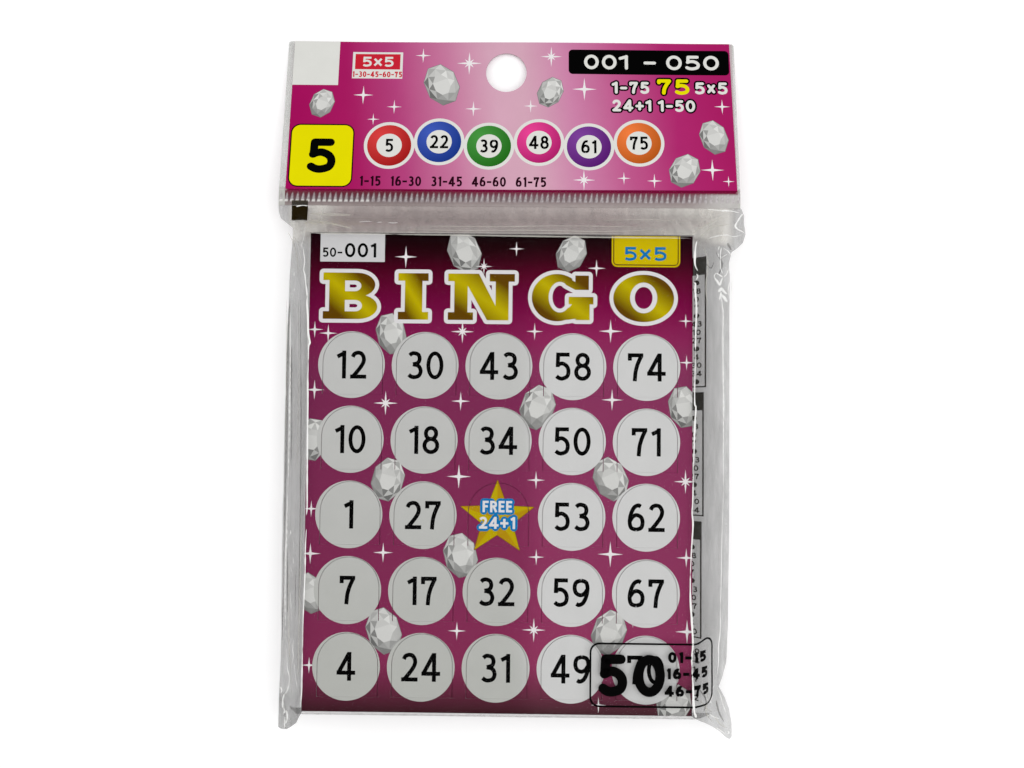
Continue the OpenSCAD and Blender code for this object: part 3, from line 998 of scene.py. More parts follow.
def make_stack():
    """The cards under these two, each a sheet that lies a little off the others."""
    picks = random.Random(7)
    points, faces, colours = [], [], []
    for k in range(CARDS_BELOW - 1):
        low = STACK_LOW.z + (STACK_HIGH.z - STACK_LOW.z - CARD_T) * k / (CARDS_BELOW - 1)
        inset = [picks.uniform(0.0, MOST_SHIFT) for side in range(4)]
        tone = mixed(BOARD_EDGE, BOARD_SHADE, picks.uniform(0.0, 0.6))
        outline = rect(STACK_LOW.x + inset[0], STACK_LOW.y + inset[1],
                       STACK_HIGH.x - inset[2], STACK_HIGH.y - inset[3])
        n = len(points)
        points += [(x, y, z) for z in (low, low + CARD_T * RIM_SHARE, low + CARD_T) for x, y in outline]
        sides = [[n + i, n + (i + 1) % 4, n + 4 + (i + 1) % 4, n + 4 + i] for i in range(4)]
        faces += [[n + 3, n + 2, n + 1, n], *sides, *[[v + 4 for v in side] for side in sides],
                  [n + 8, n + 9, n + 10, n + 11]]
        for tint, corners in ((PAPER, 4), (tone, 16), (mixed(tone, STACK_PRINT, 0.55), 16), (STACK_PRINT, 4)):
            colours += [tint] * corners
    new_piece("card_stack", points, faces, "pack", "card_board", [board_material()], "cards_below",
              colours=colours)


# The film pouch

FLAT_LEFT = CARD_X - HALF_CARD_W - FILM_MARGIN
FLAT_RIGHT = CARD_X + HALF_CARD_W + FILM_MARGIN
FLAT_END = HALF_CARD_H + FILM_MARGIN
FOOT_X = HALF_POUCH - SIDE_WELD
FOOT_LOW = HALF_CARD_H + BOTTOM_REACH - BOTTOM_WELD
FOOT_TOP = SEAL_LOW.y - CARD_Y - SHOULDER_WELD
POUCH_OUTLINE = [
    (-50.5, -57.9), (-49.9, -58.3), (-48.6, -58.4), (-47.6, -57.8), (-46.5, -57), (-45.9, -55.7),
    (-45.2, -54.4), (-30, -54.1), (0, -54.1), (25, -54.1), (41.8, -54.2), (42.8, -54.9), (43.9, -55.4),
    (45.3, -55.9), (46.9, -56.7), (48.3, -57.6), (49.6, -58.8), (50.5, -59.25), (50.95, -58.7), (51, -57.2),
    (50.9, -55.6), (50.4, -52.6), (49.5, -50.2), (48.1, -47.7), (48.9, -45.6), (49.8, -42.2), (50.1, -35),
    (50.4, -15), (50.5, 10), (50.5, 35), (50.6, 44.6), (50.4, 47.6), (51, 50.2), (52.4, 51.2), (53.6, 52.4),
    (54.2, 54.4), (53.8, 57), (53.9, 58.6), (53.2, 60.3), (-53, 60.3), (-52.9, 58.6), (-52.4, 57.2),
    (-51, 56.1), (-49.6, 55), (-49.6, 52.2), (-49.8, 49.4), (-50.1, 43.9), (-50.4, 20), (-50.3, 0),
    (-50.1, -27), (-50.3, -43), (-50.5, -52),
]


def rim_margin(x, y):
    """Distance from a place on the film to its edge, or 0 outside it."""
    nearest = 1e9
    inside = False
    for (ax, ay), (bx, by) in around(POUCH_OUTLINE):
        dx, dy = bx - ax, by - ay
        t = clamped(((x - ax) * dx + (y - ay) * dy) / (dx * dx + dy * dy))
        nearest = min(nearest, math.hypot(x - ax - t * dx, y - ay - t * dy))
        if (ay > y) != (by > y) and x < ax + (y - ay) * dx / dy:
            inside = not inside
    return nearest if inside else 0.0


def lift(x, y):
    """How far the film stands off the seam, from 0 on the welds to 1 over the cards."""
    return clamped(min((x + FOOT_X) / (FLAT_LEFT + FOOT_X), (FOOT_X - x) / (FOOT_X - FLAT_RIGHT),
                       (y + FOOT_LOW) / (FOOT_LOW - FLAT_END), (FOOT_TOP - y) / (FOOT_TOP - FLAT_END)))


def bumps(*place):
    """Soft noise at a place, from about -1 to 1."""
    return noise.noise(Vector(place))


def wrinkle(x, y, up):
    """Folds of the slack film, which die out over the cards."""
    rise = lift(x, y)
    slack = (1 - rise) * min(1.0, rise * 3 + 0.45)
    warp = bumps(x * 0.12, y * 0.045, 3.1 * up)
    if x < FLAT_LEFT:
        fold = 0.34 * math.sin(math.tau * x / 1.75 + 5.0 * warp + 0.02 * y)
        fold += 0.16 * bumps(x * 0.9, y * 0.16, 9.0 + up)
    elif x > FLAT_RIGHT:
        fold = 0.14 * math.sin(math.tau * x / 3.4 + 3.0 * warp)
        crumple = eased((y - 28) / 14) + eased((-38 - y) / 8)
        fold += (0.08 + 0.4 * crumple) * bumps(x * 0.42, y * 0.3, 4.0 + up)
    else:
        fold = 0.16 * math.sin(math.tau * y / 2.6 + 4.0 * bumps(x * 0.05, y * 0.2, up))
        fold += 0.1 * bumps(x * 0.14, y * 0.7, 5.0 + up)
    corner = eased((abs(y) - 46) / 8) * eased((abs(x - CARD_X) - 40) / 5)
    fold += 0.35 * corner * bumps(x * 0.8, y * 0.8, 2.0 + up)
    return fold * slack * 0.8 + 0.012 * bumps(x * 0.11, y * 0.11, 7.0 + up) * rise


def film_z(x, y, up):
    """Height of the outer face of the front film (up 1) or the back film (up -1)."""
    margin = rim_margin(x, y)
    reach = (FILM_TOP - SEAM_Z if up > 0 else SEAM_Z) - SOLID_FILM_T
    share = lift(x, y)
    share -= 0.045 * math.sin(math.tau * share)
    height = FILM_T + 0.02 + reach * share * eased(margin / 1.3)
    return SEAM_Z + up * (height + max(wrinkle(x, y, up) * eased(margin / 0.8), 0.03 - height))


def film_look(x, y):
    """Tint and density of the slack film at a place. The shoulder and the left foot are denser. The shoulder
    is paler at its ends, where its whitish wrinkled film also gets a painted sheen, and darker towards the
    seal at its left, as painted shade."""
    shoulder = eased((y - HALF_CARD_H + 1.2) / 1.2) * eased((x + 51.5) / 2.5) * eased((52.5 - x) / 3.0)
    foot = eased((-49.0 - y) / 3.0) * (eased((-44.0 - x) / 1.5) - 0.4 * eased((x - 44.0) / 1.5))
    # Painted sheen at the shoulder's ends, and painted shade towards the seal at the left
    ends = max(eased((x - 20.0) / 22.0), eased((-38.0 - x) / 5.0))
    painted_seal_shade = 0.3 * eased((y - 54.0) / 3.0) * eased((4.0 - x) / 20.0)
    haze_and_painted_light = mixed(mixed(srgb(206, 194, 190), srgb(170, 158, 154), painted_seal_shade), srgb(232, 229, 222), ends)
    return *mixed(srgb(84, 83, 80), haze_and_painted_light, shoulder), 0.135 + 0.125 * shoulder + 0.08 * foot


def panel_spots():
    """Places inside a film panel: a fine grid, with longer steps over the cards."""
    for row in range(-74, 78):
        y = row * FILM_STEP
        x = -52.5 + (row % 2) * FILM_STEP / 2
        while x < 54.0:
            if rim_margin(x, y) > RIM_CLEAR:
                yield x, y
            over_cards = FLAT_LEFT + 1.5 < x < FLAT_RIGHT - 4.7 and abs(y) < FLAT_END - 1.5
            x += FILM_STEP * (4 if over_cards else 1)


def film_panel(name, node, up, looks):
    """One panel of the pouch, as a thin closed shell. Its looks are for the slack film, the film over the
    cards, and the brown mark at the left end of the front panel's upper edge."""
    rim = []
    for a, b in around(POUCH_OUTLINE):
        steps = max(1, round(math.dist(a, b) / RIM_STEP))
        rim += [(a[0] + (b[0] - a[0]) * k / steps, a[1] + (b[1] - a[1]) * k / steps) for k in range(steps)]
    shapes = [moved(CARD_OUTLINE, CARD_X, 0.0), *([MARK] if up > 0 else [])]
    flat, tops, kinds = cut_up(rim, [], shapes, [], panel_spots())
    outer = [Vector((p.x, CARD_Y + p.y, film_z(p.x, p.y, up))) for p in flat]
    normals = [Vector((0, 0, 0)) for p in outer]
    for a, b, c in tops:
        normal = (outer[b] - outer[a]).cross(outer[c] - outer[a])
        for v in (a, b, c):
            normals[v] += normal
    inner = [p - n.normalized() * FILM_T * up for p, n in zip(outer, normals)]
    for p in inner:
        p.z = SEAM_Z + up * max(up * (p.z - SEAM_Z), LEAST_OFF_SEAM)
    faces = [face[::up] for face in closed(tops, len(flat))]
    kinds = kinds * 2 + [0] * (len(faces) - 2 * len(tops))
    tints = [film_look(p.x, p.y) for p in flat] * 2
    colours = [MARK_BROWN if kind == 2 else tints[v] for face, kind in zip(faces, kinds) for v in face]
    new_piece(name, outer + inner, faces, "pack", "clear_film", looks, node, True, kinds, colours)


# Creases of the front film as they are seen in the photograph: a width, then pixels along each line
# The bright and faint creases are painted highlights on folds of the film, and the dark ones are painted
# shadow beside folds and along the film's edge.
CREASE_HIGHLIGHTS = [
    (0.3, 707.3, 209.6, 712.8, 209.8, 720, 210.7, 727.3, 210.8, 734, 211.7, 739, 212.7),
    (0.36, 742.8, 213.8, 740.7, 216.3, 736, 224, 735.5, 226.7, 737.3, 229, 740.7, 230.8, 744.4, 232.7),
    (0.2, 709, 238.3, 713, 237, 720.7, 235.4, 727.3, 235, 734, 236.7, 742.3, 234.6),
    (0.28, 721.5, 247.5, 720.7, 251.7, 720.3, 258.3, 720.7, 267.5, 721.5, 270.8, 722.8, 273.8),
    (0.42, 717.8, 253.3, 718.4, 255.4, 718.8, 257.5),
    (0.18, 719.4, 245.8, 718.8, 248, 718.2, 250),
    (0.5, 716, 272.9, 714.4, 275.8, 715.3, 278.8, 717.8, 282, 719.8, 284.6, 721.5, 280.8, 723, 277),
    (0.34, 723, 277, 720.7, 275.8, 718.2, 274.2, 716, 272.9),
    (0.26, 723.2, 277, 725.7, 275.4, 727.3, 272.5, 729, 268.3),
    (0.18, 723.2, 248.3, 727.3, 250.4, 730.3, 254.2, 732, 257.5),
    (0.18, 721.5, 257.5, 724.4, 255.8, 727.3, 254.2),
    (0.7, 718.2, 291.7, 720.1, 290, 722, 288.8, 724, 291.7, 727.3, 294.2),
    (0.8, 720.7, 294.2, 724, 297.5, 727.3, 302),
    (0.5, 719, 300, 720.4, 296, 721, 292),
    (0.24, 729.4, 282, 728.6, 286.7, 728.2, 290.8, 729, 296.7),
    (0.2, 732, 280, 731.5, 287.5, 731, 295.8),
    (0.4, 720.7, 295.8, 722, 302.5, 723.2, 315, 722.9, 325, 722.8, 350, 723.5, 400, 723.3, 455, 723.5, 487),
    (0.22, 723.5, 487, 722.8, 512, 721.8, 544, 721.3, 575, 720.5, 606),
    (0.26, 720.5, 606, 720.3, 630, 719.6, 637, 718.5, 648.5, 718.5, 662, 717.3, 674),
    (0.44, 696.9, 241, 695.7, 246.7, 695.1, 254.2, 694.8, 261.7, 695.7, 266.7, 697.8, 270.8),
    (0.3, 696.5, 273.8, 697.8, 276.3, 696.3, 280),
    (0.44, 694, 282.5, 695.5, 284.2, 695.3, 290.8, 696.5, 308.3, 695.7, 333.3, 695.5, 350),
    (0.36, 695.5, 350, 694.6, 400, 695.9, 407.5, 695, 425, 694.3, 441, 694, 452.5, 693.4, 470),
    (0.32, 693.4, 470, 692.8, 500, 692.1, 512.5, 693, 525, 691.5, 550, 690.3, 575),
    (0.42, 690.3, 575, 690.5, 600, 692.1, 625, 692.9, 644.6, 691.9, 656, 691.9, 667.7),
    (0.42, 691.9, 667.7, 693.1, 687, 693.5, 700.8, 694.5, 712.3, 695.8, 717.7),
    (0.36, 714.2, 685.8, 711.9, 690, 711.9, 697, 710.4, 700.8, 711.5, 703),
    (0.24, 716.2, 685.8, 720, 694.6, 723, 704.6, 725.8, 712.3),
    (0.24, 707.3, 715, 712.3, 716.2, 719.2, 718.8),
    (0.2, 716.2, 727.7, 720, 730, 723.8, 733, 726.2, 736.2),
    (0.4, 728.5, 730.8, 728.6, 733.8),
    (0.4, 695, 713, 696.5, 717.7),
    (0.3, 293.6, 208.3, 295.7, 207, 299, 205.8, 303.2, 205.4, 308.2, 206),
    (0.18, 303.6, 230.8, 304, 235.8, 302.8, 241.7, 301.5, 245, 303.6, 248.3),
    (0.4, 303.2, 248.3, 303.8, 253.3, 304.8, 261.7, 303.6, 269.2, 305, 275, 305.7, 282.5, 306.7, 291.7, 307.3,
     296.7),
    (0.4, 307.3, 296.7, 306.9, 303.3, 307.8, 316.7, 308.2, 333.3, 309.8, 342.6, 308.6, 346, 308.4, 361),
    (0.34, 308.4, 361, 307.8, 380, 307.8, 400, 307.5, 430, 307.3, 455, 307.1, 480, 307.1, 505, 306.5, 515),
    (0.26, 306.3, 529, 306, 535, 305.3, 549, 305, 572, 303.9, 600, 303, 622, 302.6, 650),
    (0.26, 302.6, 650, 302, 672, 301.7, 689, 300.6, 705.6),
    (0.26, 294, 272.5, 294.4, 276),
    (0.26, 294.4, 288.5, 294.4, 291),
    (0.26, 294.4, 304, 295.2, 307.5),
    (0.36, 290.2, 312, 290.2, 350, 290.2, 380, 289.6, 405, 289.2, 436, 288.8, 455, 287.8, 492),
    (0.34, 287.8, 492, 287.1, 517, 286.5, 542, 286.1, 550, 285.6, 572, 285.3, 600, 285.6, 628),
    (0.36, 285.6, 628, 286.7, 650, 287.2, 667, 289.4, 678, 287.8, 689, 283.9, 695.5, 282.8, 705.6, 284.4, 710,
     283.3, 714.4),
    (0.44, 282.8, 714.4, 286.1, 711, 287.2, 716.7, 286.1, 723.3),
    (0.34, 285, 716.7, 284.8, 722, 284.4, 727.8),
    (0.3, 280.6, 686.7, 281.7, 690, 281.1, 693),
    (0.22, 292.8, 556.7, 293.9, 564.4),
    (0.22, 291.1, 567.8, 292.2, 576.7),
    (0.24, 292.2, 588.9, 290.6, 594.4, 290.9, 603.3, 291.7, 612, 291.7, 627.8),
    (0.22, 293.9, 638.9, 292.8, 647.8, 293.3, 656.7, 292.2, 663.3),
    (0.22, 293.9, 663.3, 295, 672.2, 297.2, 687.8),
    (0.2, 293.4, 540, 294, 550),
    (0.2, 290.9, 530, 290.3, 535),
    (0.16, 359, 222, 366, 221.3, 372, 221.6),
    (0.16, 377, 222.3, 382, 222.1),
    (0.16, 388, 222.6, 394, 222.9, 398, 222.4),
]
FAINT_CREASE_HIGHLIGHTS = [
    (0.36, 395, 234.4, 450, 235, 540, 236.3, 600, 237.2, 690, 238.2),
    (0.3, 316, 233.4, 350, 233.6, 395, 234.4),
    (0.5, 308, 220.4, 322, 222, 338, 225, 352, 228.4),
    (0.7, 310, 213.6, 330, 214.4, 352, 215),
    (0.3, 420, 226, 500, 226.6, 560, 225.8, 640, 227),
    (0.24, 410, 229.6, 470, 230.6, 530, 230.2, 600, 231.4, 668, 230),
    (0.3, 600, 220.4, 640, 219.6, 676, 220.8),
    (0.3, 690, 236, 700, 228, 712, 222, 724, 216),
    (0.26, 700, 238, 708, 230, 716, 226, 730, 224),
    (0.4, 703, 246, 708, 262, 706, 286, 708, 310),
    (0.3, 298, 300, 299, 360, 298, 420, 297, 480),
    (0.26, 286.5, 300, 286.4, 380, 285.6, 440),
    (0.3, 301, 500, 300.5, 560, 299, 620, 298, 680),
    (0.3, 289, 560, 288.6, 620, 290, 660, 292, 700),
    (0.3, 288, 232, 292, 240, 297, 256, 298, 280),
    (0.3, 294, 236, 300, 250, 301, 270),
    (0.3, 700, 700, 706, 708, 712, 712),
    (0.3, 706, 690, 708, 700, 706, 712, 712, 722),
    (0.3, 714, 716, 720, 724, 727, 728),
]
CREASE_SHADOWS = [
    (0.5, 727.3, 243, 729.4, 246.7, 731.5, 250),
    (0.4, 291.8, 345, 291.5, 380, 291.8, 420, 290.8, 470),
    (0.7, 290, 300, 288, 340, 286.3, 420, 285, 480, 283, 560, 282, 640),
    (0.36, 287.8, 550, 287.5, 617),
    (0.36, 296, 567, 295, 617),
    (0.4, 300.5, 300, 301, 400, 300.4, 500, 298.5, 620),
    (0.3, 706, 264, 711, 268, 714, 262),
    (0.5, 716, 252, 722, 264, 718, 276),
    (0.4, 700, 690, 706, 700, 704, 712),
    (0.4, 716, 700, 719, 712, 724, 722),
]


def seen_on_film(px, py):
    """The place on the front film that shows at a pixel of the photograph."""
    right, up, ahead = camera_axes()
    per_pixel = SENSOR / LENS / PHOTO_W
    ray = ahead + right * (px - PHOTO_W / 2) * per_pixel + up * (PHOTO_H / 2 - py) * per_pixel
    start = CAMERA_AT + Vector((CARD_X, 0.0, CARD_TOP))
    z = FILM_TOP
    for turn in range(10):
        p = start + ray * (z - start.z) / ray.z
        z = film_z(p.x, p.y, 1)
    return p.x, p.y


# A crease in section: shares of its half width, and heights over the film
CREASE_SECTION = [(1, 0.005), (0, 0.05), (-1, 0.005), (0, -0.03)]


def crease_mesh(lines):
    """Sharp folds that stand on the front film as thin ridges with pointed ends."""
    points, faces = [], []
    for width, *pixels in lines:
        path = smooth_line([seen_on_film(*p) for p in paired(pixels)], 6)
        last = len(path) - 1
        start = len(points)
        for k, p in enumerate(path):
            along = (path[min(k + 1, last)] - path[max(k - 1, 0)]).normalized()
            taper = max(0.12, math.sin(math.pi * k / last) ** 0.35) * (1 + 0.45 * bumps(p.x, p.y * 0.7, 1.7))
            half = Vector((-along.y, along.x)) * width / 2 * taper
            for side, stand in CREASE_SECTION:
                q = p + half * side
                points.append((q.x, CARD_Y + q.y, film_z(q.x, q.y, 1) + stand))
        rings = [[start + 4 * k + i for i in range(4)] for k in range(last + 1)]
        for ring, after in zip(rings, rings[1:]):
            faces += [[a, b, b + 4, a + 4] for a, b in around(ring)]
        faces += [rings[0][::-1], rings[-1]]
    return points, faces


def between(low, high):
    """Places between two others, about a step apart."""
    count = int((high - low) / INK_STEP)
    return [low + (high - low) * (k + 1) / (count + 1) for k in range(count)]


def film_ink(name, outlines, up, colour, look):
    """Print on the upper face of a film panel, as thin closed pieces that follow it."""
    points, faces = [], []
    for outline, *holes in outlines:
        x0, y0, x1, y1 = box_of(outline)
        flat, tops, owners = cut_up(outline, holes, [], guide_lines(between(x0, x1), between(y0, y1)))
        faces += [[len(points) + v for v in face] for face in closed(tops, len(flat))]
        for level in INK_LEVELS:
            stand = level if up > 0 else FILM_T + level
            points += [(p.x, CARD_Y + p.y, film_z(p.x, p.y, up) + stand) for p in flat]
    colours = [colour] * sum(len(face) for face in faces)
    new_piece(name, points, faces, "pack", "clear_film", [look], colours=colours)


# The print at the foot of the front film: a frame, the count in it and three ranges of numbers
COUNT_X = 29.2
COUNT_Y = -43.6
RANGE_X = 41.4
RANGES = [("01-15", -39.6), ("16-45", -43.1), ("46-75", -46.8)]
FRAME_LEFT = 20.3
FRAME_RIGHT = 47.5
FRAME_LOW = -50.2
FRAME_HIGH = -36.8
FRAME_R = 1.9
FRAME_HALF_LINE = 0.2


def make_film():
    """Both panels of the pouch, with their creases, which carry painted highlights and shadow, and their
    print.
    """
    slack = pouch_material()
    clear = film_material("clear_film", srgb(10, 10, 10), 0.03, 0.06, 0.25, specular=0.2)
    ink = printed_material("film_ink", 0.3, 0.06, 0.2, 0.012)
    film_panel("front_film", "pouch_front_film", 1, [slack, clear, ink])
    film_panel("back_film", "pouch_back_film", -1, [slack, clear, ink])
    # The creases' colours are painted: pale ones as highlights, grey ones as shadow
    for name, lines, tint, alpha in (("crease_highlight", CREASE_HIGHLIGHTS, srgb(250, 250, 248), 0.85),
                                     ("faint_crease_highlight", FAINT_CREASE_HIGHLIGHTS, srgb(226, 224, 214), 0.3),
                                     ("crease_shadow", CREASE_SHADOWS, srgb(96, 94, 90), 0.28)):
        look = film_material(name, tint, alpha, 0.25)
        new_piece(f"{name}s", *crease_mesh(lines), "pack", "clear_film", [look])
    outlines = figure_outlines("50", COUNT_X + CARD_X, COUNT_Y, 9.0, 0.23, 1.22, round_ends=True)
    for text, y in RANGES:
        outlines += figure_outlines(text, RANGE_X + CARD_X, y, 2.35, 0.28, 1.28)
    film_ink("count_print", [count_frame(), *[(o,) for o in outlines]], 1, BLACK, ink)
    make_back_print(ink)


def count_frame():
    """A thin round-cornered frame, whose upper edge rises where the film slopes down at its right."""
    x0, x1 = FRAME_LEFT + CARD_X, FRAME_RIGHT + CARD_X
    line = rounded(x0, FRAME_LOW, x1, FRAME_HIGH, FRAME_R)
    corner, steps = 7, 24
    line[corner:corner] = [(x1 - FRAME_R - (x1 - x0 - 2 * FRAME_R) * k / steps, FRAME_HIGH)
                           for k in range(1, steps)]
    bulged = [(x, y + (0.9 * eased((x - FLAT_RIGHT) / 3.5) if y > COUNT_Y else 0.0)) for x, y in line]
    return grown(bulged, FRAME_HALF_LINE), grown(bulged, -FRAME_HALF_LINE)[::-1]


def bars(left, right, y, height, shares):
    """A row of short bars, which fills a line as words would. The shares are of their widths."""
    gap = (right - left) * 0.035
    room = right - left - gap * (len(shares) - 1)
    for share in shares:
        width = room * share / sum(shares)
        yield rounded(left, y - height / 2, left + width, y + height / 2, height * 0.3, 3)
        left += width + gap


# The print on the back film. A panel has its top, foot and right side, and a row of bars has its end, as a
# distance from that side, and the widths of its bars.
PANEL_LEFT = CARD_X - 44.0
PANELS = [(49.75, 19.4, 45.75), (18.3, -10.2, 45.3), (-11.4, -38.0, 44.9)]
PANEL_LINE = 0.3
HEADING_H = 4.0
ROW_PITCH = 1.92
SIDE_FIGURE = 1.9
BAR_ROWS = [(4.2, (4, 3, 6, 2, 5, 3)), (4.2, (5, 2, 4, 6, 3, 4)), (22.0, (3, 6, 3, 4, 2, 6))]
BAR_H = 0.9
FOOT_FIGURES = (CARD_X + 45.0, -41.0)
FOOT_PITCH = 2.1


def make_back_print(ink):
    """The print on the back film: three framed panels, each with a dark heading and rows of figures."""
    blocks, lines = [], []
    left, line = PANEL_LEFT, PANEL_LINE

    def figure(row, column, x, y):
        lines.extend((o,) for o in figure_outlines(str(NUMBERS[row % 5][column % 3]), x, y, 1.3, 0.2, 1.2))

    for top, low, right in PANELS:
        under = top - HEADING_H
        blocks.append([rect(left, under, right, top)])
        lines.append([rect(left, low, right, under), rect(left + line, low + line, right - line, top - 4.2)])
        y = top - 6.0
        row = 0
        while y > low + 1.2:
            if row % 4 == 0:
                lines += [[disc(x, y, 0.6, 14)] for x in (left + 2.6, right - SIDE_FIGURE)]
            else:
                figure(row, row, right - SIDE_FIGURE, y)
            end, widths = BAR_ROWS[row % 3]
            lines += [[bar] for bar in bars(left + 4.5, right - end, y, BAR_H, widths)]
            y -= ROW_PITCH
            row += 1
    x, y = FOOT_FIGURES
    for row in range(6):
        figure(row, row + 1, x, y - FOOT_PITCH * row)
    film_ink("back_headings", blocks, -1, BROWN, ink)
    film_ink("back_lines", lines, -1, GREY_INK, ink)


# The seal and the header

def crimp_span(x, y):
    """How far up the crimp's pattern a place is, from 0 to 1."""
    return (y - SEAL_LOW.y - SLANT * (x + HALF_BAG) / (2 * HALF_BAG)) / (SEAL_HIGH.y - SEAL_LOW.y)


def rib(x, y):
    """How far the crimp's rib stands out at a place, from 0 to 1: drops with their points at the top."""
    t = (crimp_span(x, y) - RIB_START) / (RIB_END - RIB_START)
    if not 0 < t < 1:
        return 0.0
    share = (x - RIB_LEAN * t) / RIB_PITCH
    half = 0.07 + (1 - t) * 0.27
    return eased((half - abs(share - round(share))) / 0.16 + 0.5) * eased(t / 0.12) * eased((1 - t) / 0.3)


def crimp_colour(x, y):
    """The seal's colour at a place: milky ribs, partly brightened as a painted highlight, over valleys that
    show more of the header's ink upwards, with a painted glint low on the ribs at the left.
    """
    span = crimp_span(x, y)
    if MARK_LEFT < x < MARK_RIGHT and span < MARK_SPAN:
        return mixed(MARK_BROWN, srgb(120, 108, 84), 0.4 * rib(x, y))
    valley = mixed(ramp(LEFT_VALLEY, span), ramp(RIGHT_VALLEY, span), eased((x + 25.0) / 18.0))
    clear = eased((x - 40.0) / 10.0) * eased((0.92 - span) / 0.2)
    valley = mixed(valley, srgb(190, 187, 184), clear)
    if not PRINT_LEFT < x < PRINT_RIGHT:
        valley = BARE_SEAL
    spot = bumps(x * 2.6, y * 2.6, 1.0)
    # The crests: milky film, partly brightened as a painted highlight
    crest = mixed(srgb(160, 149, 152), srgb(214, 210, 211), 0.24 + 0.9 * spot + 0.3 * clear)
    # A painted glint low on the ribs at the left
    if x < GLINT_END and RIB_START < span < 0.36:
        crest = mixed(crest, srgb(245, 244, 240), 0.8)
    return mixed(valley, crest, 0.85 * rib(x, y))


def make_seal():
    """The crimped band: ribs pressed into both faces, milky where they stand out."""
    columns, rows = 848, 14

    def place(i, j, side):
        x = -HALF_BAG + 2 * HALF_BAG * i / columns
        y = SEAL_LOW.y + (SEAL_HIGH.y - SEAL_LOW.y) * j / rows
        return x, y, SEAM_Z + side * (SEAL_HALF_T + RIB_H * rib(x, y))

    points, faces = sheet(columns, rows, place)
    tints = [crimp_colour(x, y) for x, y, z in points]
    new_piece("crimped_seal", points, faces, "pack", "seal_film", [seal_material()], "heat_seal", True,
              colours=[tints[v] for face in faces for v in face])


def on_header(x, y, height):
    """A point of the header, at a height over the plane through its fold."""
    wave = 0.16 * math.sin(x * 0.085 + 0.6) * (y / HEADER_H) ** 2 + 0.06 * bumps(x * 0.06, y * 0.09, 2.0)
    c, s = math.cos(HEADER_SLOPE), math.sin(HEADER_SLOPE)
    rise = height + max(wave, -0.1) * eased(y / 6.0)
    return FOLD.x + x, FOLD.y + y * c + rise * s, FOLD.z - y * s + rise * c


def make_header():
    """Both plies of the header and its fold. Beyond the printed ground a ply is clear film."""
    look = printed_material("header_print", 0.26, 0.03, 0.12, 0.01)
    clear = film_material("header_edge_film", srgb(206, 207, 203), 0.24, 0.12, 0.3, (3.0, 0.6, 1.0), 0.6)
    lining = mixed(HEADER_WHITE, srgb(196, 120, 160), 0.4)
    upper = [(HALF_BAG - 0.1, HEADER_H - 0.4), (HALF_BAG - 0.5, HEADER_H)]
    outline = [(-HALF_BAG, 0.0), (HALF_BAG, 0.0), *upper, *[(-x, y) for x, y in upper[::-1]]]

    def ply(name, side, plain, slot, node, margins):
        def place(x, y, share):
            return on_header(side * x, y, side * (PLY_GAP + PLY_T * share))
        hole = ellipse(side * HOLE_U, HOLE_V, HOLE_R, HOLE_R * HOLE_STRETCH, 96)
        plate(name, outline, place, header_art(plain), header_ground, lining, lining, "header", slot,
              [look, clear], node, [hole], True, margins)

    ply("header_front", 1, False, "header_print", "header_front_film",
        [rect(-60, -5, PRINT_LEFT, 60), [(PRINT_RIGHT, -5), (60, -5), (60, 60), (PRINT_RIGHT - 0.9, 60)]])
    ply("header_back", -1, True, "header_lining", "header_back_film",
        [rect(-60, -5, -PRINT_RIGHT, 60), rect(-PRINT_LEFT, -5, 60, 60)])
    make_fold(look)


def make_fold(look):
    """The strip of film that joins the seal and the header, and bends where they fold."""
    low, high = SEAL_HIGH.y - SEAL_LAP, FOLD.y + HEADER_LAP
    left, width = -HALF_BAG + FOLD_INSET, 2 * HALF_BAG - 2 * FOLD_INSET
    columns, rows = 106, 8

    def place(i, j, side):
        y = low + (high - low) * j / rows
        drop = max(0.0, y - FOLD.y) * math.tan(HEADER_SLOPE)
        return left + width * i / columns, y, SEAM_Z - drop + side * FOLD_HALF_T

    points, faces = sheet(columns, rows, place)
    tints = [FOLD_MAGENTA if PRINT_LEFT < x < PRINT_RIGHT else BARE_SEAL for x, y, z in points]
    piece = new_piece("header_fold_film", points, faces, None, "header_print", [look], None, True,
                      colours=[tints[v] for face in faces for v in face])
    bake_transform(piece)


# The closing lip at the back

LIP_HEIGHTS = (-0.06, 0.06)
GLUE_HEIGHTS = (0.075, 0.16)
LIP_CORNER_R = 0.6


def make_lip():
    """The lip that closes the mouth, and its adhesive strip, which keep to their solids' places."""
    joint = joint_place("lip_peel")
    slope = math.atan2(LIP_HIGH.z - LIP_LOW.z - SOLID_FILM_T, joint.y - LIP_LOW.y)
    c, s = math.cos(slope), math.sin(slope)
    half = (LIP_HIGH.x - LIP_LOW.x) / 2
    length = (joint.y - LIP_LOW.y) / c

    def strip(name, half_w, y0, y1, z0, z1, slot, node, look):
        def place(x, y, share):
            height = z0 + (z1 - z0) * (1 - share) + 0.015 * bumps(-x * 0.2, y * 0.6, 5.0)
            return -x, joint.y - y * c - height * s, joint.z - y * s + height * c
        outline = rounded(-half_w, y0, half_w, y1, LIP_CORNER_R, 4)
        plate(name, outline, place, Art(range(-50, 51, 2)), PAPER, PAPER, PAPER, "lip", slot, [look], node,
              smooth=True)

    strip("closing_lip", half, 0.0, length, *LIP_HEIGHTS, "lip_film", "closing_flap",
          film_material("lip_film", srgb(120, 120, 117), 0.045, 0.1, 0.4))
    end = length - STRIP_INSET
    strip("glue_strip", half - STRIP_SIDE, end - STRIP_H, end, *GLUE_HEIGHTS, "adhesive", "adhesive_strip",
          film_material("adhesive", srgb(206, 204, 190), 0.09, 0.35, 0.5))


# The stage

# In metres and watts: the floor's half width and its distance below the pack, and for each light its name,
# place, width and power
HALF_FLOOR = 6.0
FLOOR_DROP = 0.0002
LIGHTS = [("key", (0.12, -0.03, 0.38), 0.4, 0.75), ("fill", (-0.36, 0.2, 0.5), 0.5, 0.62)]


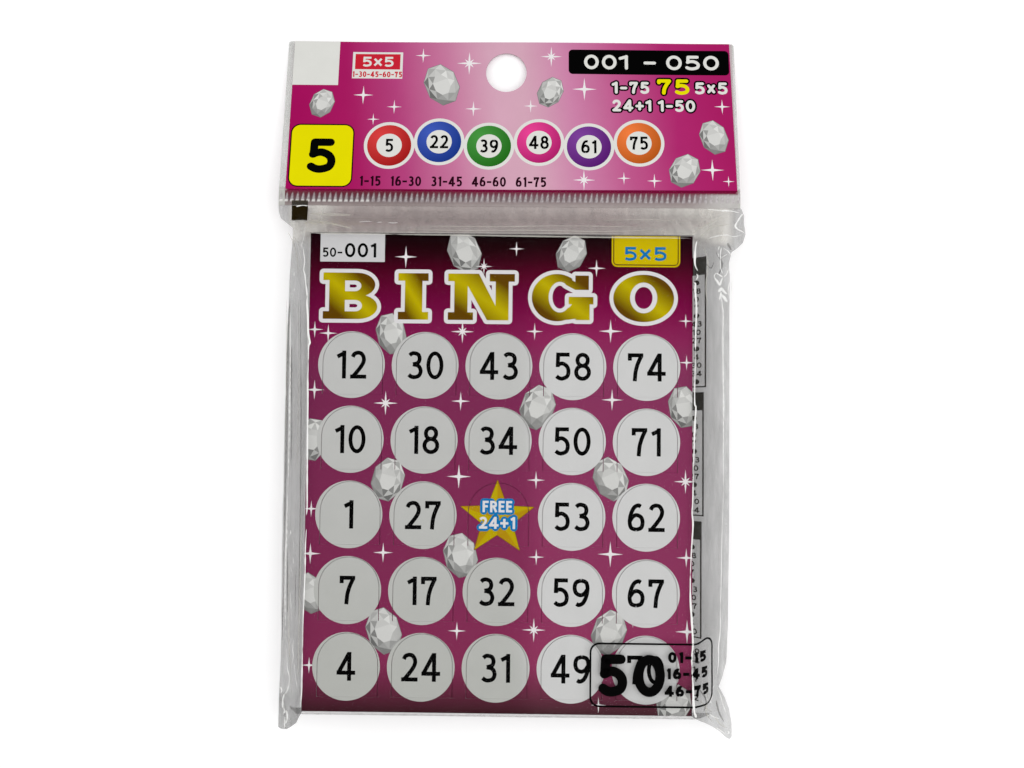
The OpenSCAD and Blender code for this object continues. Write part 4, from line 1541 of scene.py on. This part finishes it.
def make_floor():
    """A white floor, which looks bright and yet lights the pack softly."""
    mesh = bpy.data.meshes.new("floor")
    corners = rect(-HALF_FLOOR, -HALF_FLOOR, HALF_FLOOR, HALF_FLOOR)
    mesh.from_pydata([(x, y, 0.0) for x, y in corners], [], [(0, 1, 2, 3)])
    floor = placed("floor", mesh)
    floor.location.z = -FLOOR_DROP
    look = surface("floor", 0.9)
    values = {"Factor": seen_rays(look), "A": (0.72, 0.72, 0.72, 1.0), "B": (0.985, 0.985, 0.985, 1.0)}
    look.fill({"Base Color": look.node("Mix", "Result", values, data_type="RGBA"),
               "Emission Color": (*WHITE, 1.0), "Emission Strength": 0.13})
    mesh.materials.append(look.owner)


def seen_rays(look):
    """1 for the rays in which the white surroundings are seen, and 0 for those that light the pack."""
    camera, glossy, through = [look.node("LightPath", f"Is {kind} Ray", {})
                               for kind in ("Camera", "Glossy", "Transmission")]
    mirrored = look.node("Math", "Value", {0: camera, 1: glossy}, operation="MAXIMUM")
    return look.node("Math", "Value", {0: mirrored, 1: through}, operation="MAXIMUM")


def area_light(name, place, size, power):
    """A square light that shines on the origin."""
    data = bpy.data.lights.new(name, "AREA")
    data.shape = "RECTANGLE"
    data.size = data.size_y = size
    data.energy = power
    light = placed(name, data)
    light.location = place
    light.rotation_euler = (-Vector(place)).to_track_quat("-Z", "Y").to_euler()


def make_lights():
    world = bpy.data.worlds.new("studio")
    bpy.context.scene.world = world
    look = Look(world, "Background")
    look.fill({"Color": (*WHITE, 1.0), "Strength": look.ranged(seen_rays(look), 0.6, 1.0)})
    for light in LIGHTS:
        area_light(*light)


def camera_axes():
    """The camera's right, up and forward directions."""
    ahead = (CAMERA_AIM - CAMERA_AT).normalized()
    right = ahead.cross(Vector((0, 1, 0))).normalized()
    up = right.cross(ahead)
    c, s = math.cos(CAMERA_ROLL), math.sin(CAMERA_ROLL)
    return c * right + s * up, c * up - s * right, ahead


def make_camera():
    right, up, ahead = camera_axes()
    data = bpy.data.cameras.new("camera")
    data.lens = LENS
    data.sensor_width = SENSOR
    data.clip_start = 0.01
    camera = placed("camera", data)
    place = (CAMERA_AT + Vector((CARD_X, CARD_Y, CARD_TOP))) * MM
    camera.matrix_world = Matrix.Translation(place) @ Matrix((right, up, -ahead)).transposed().to_4x4()
    bpy.context.scene.camera = camera


bpy.context.scene.view_settings.view_transform = "Standard"
make_camera()
make_cards()
make_second_card()
make_stack()
make_film()
make_seal()
make_header()
make_lip()
make_floor()
make_lights()
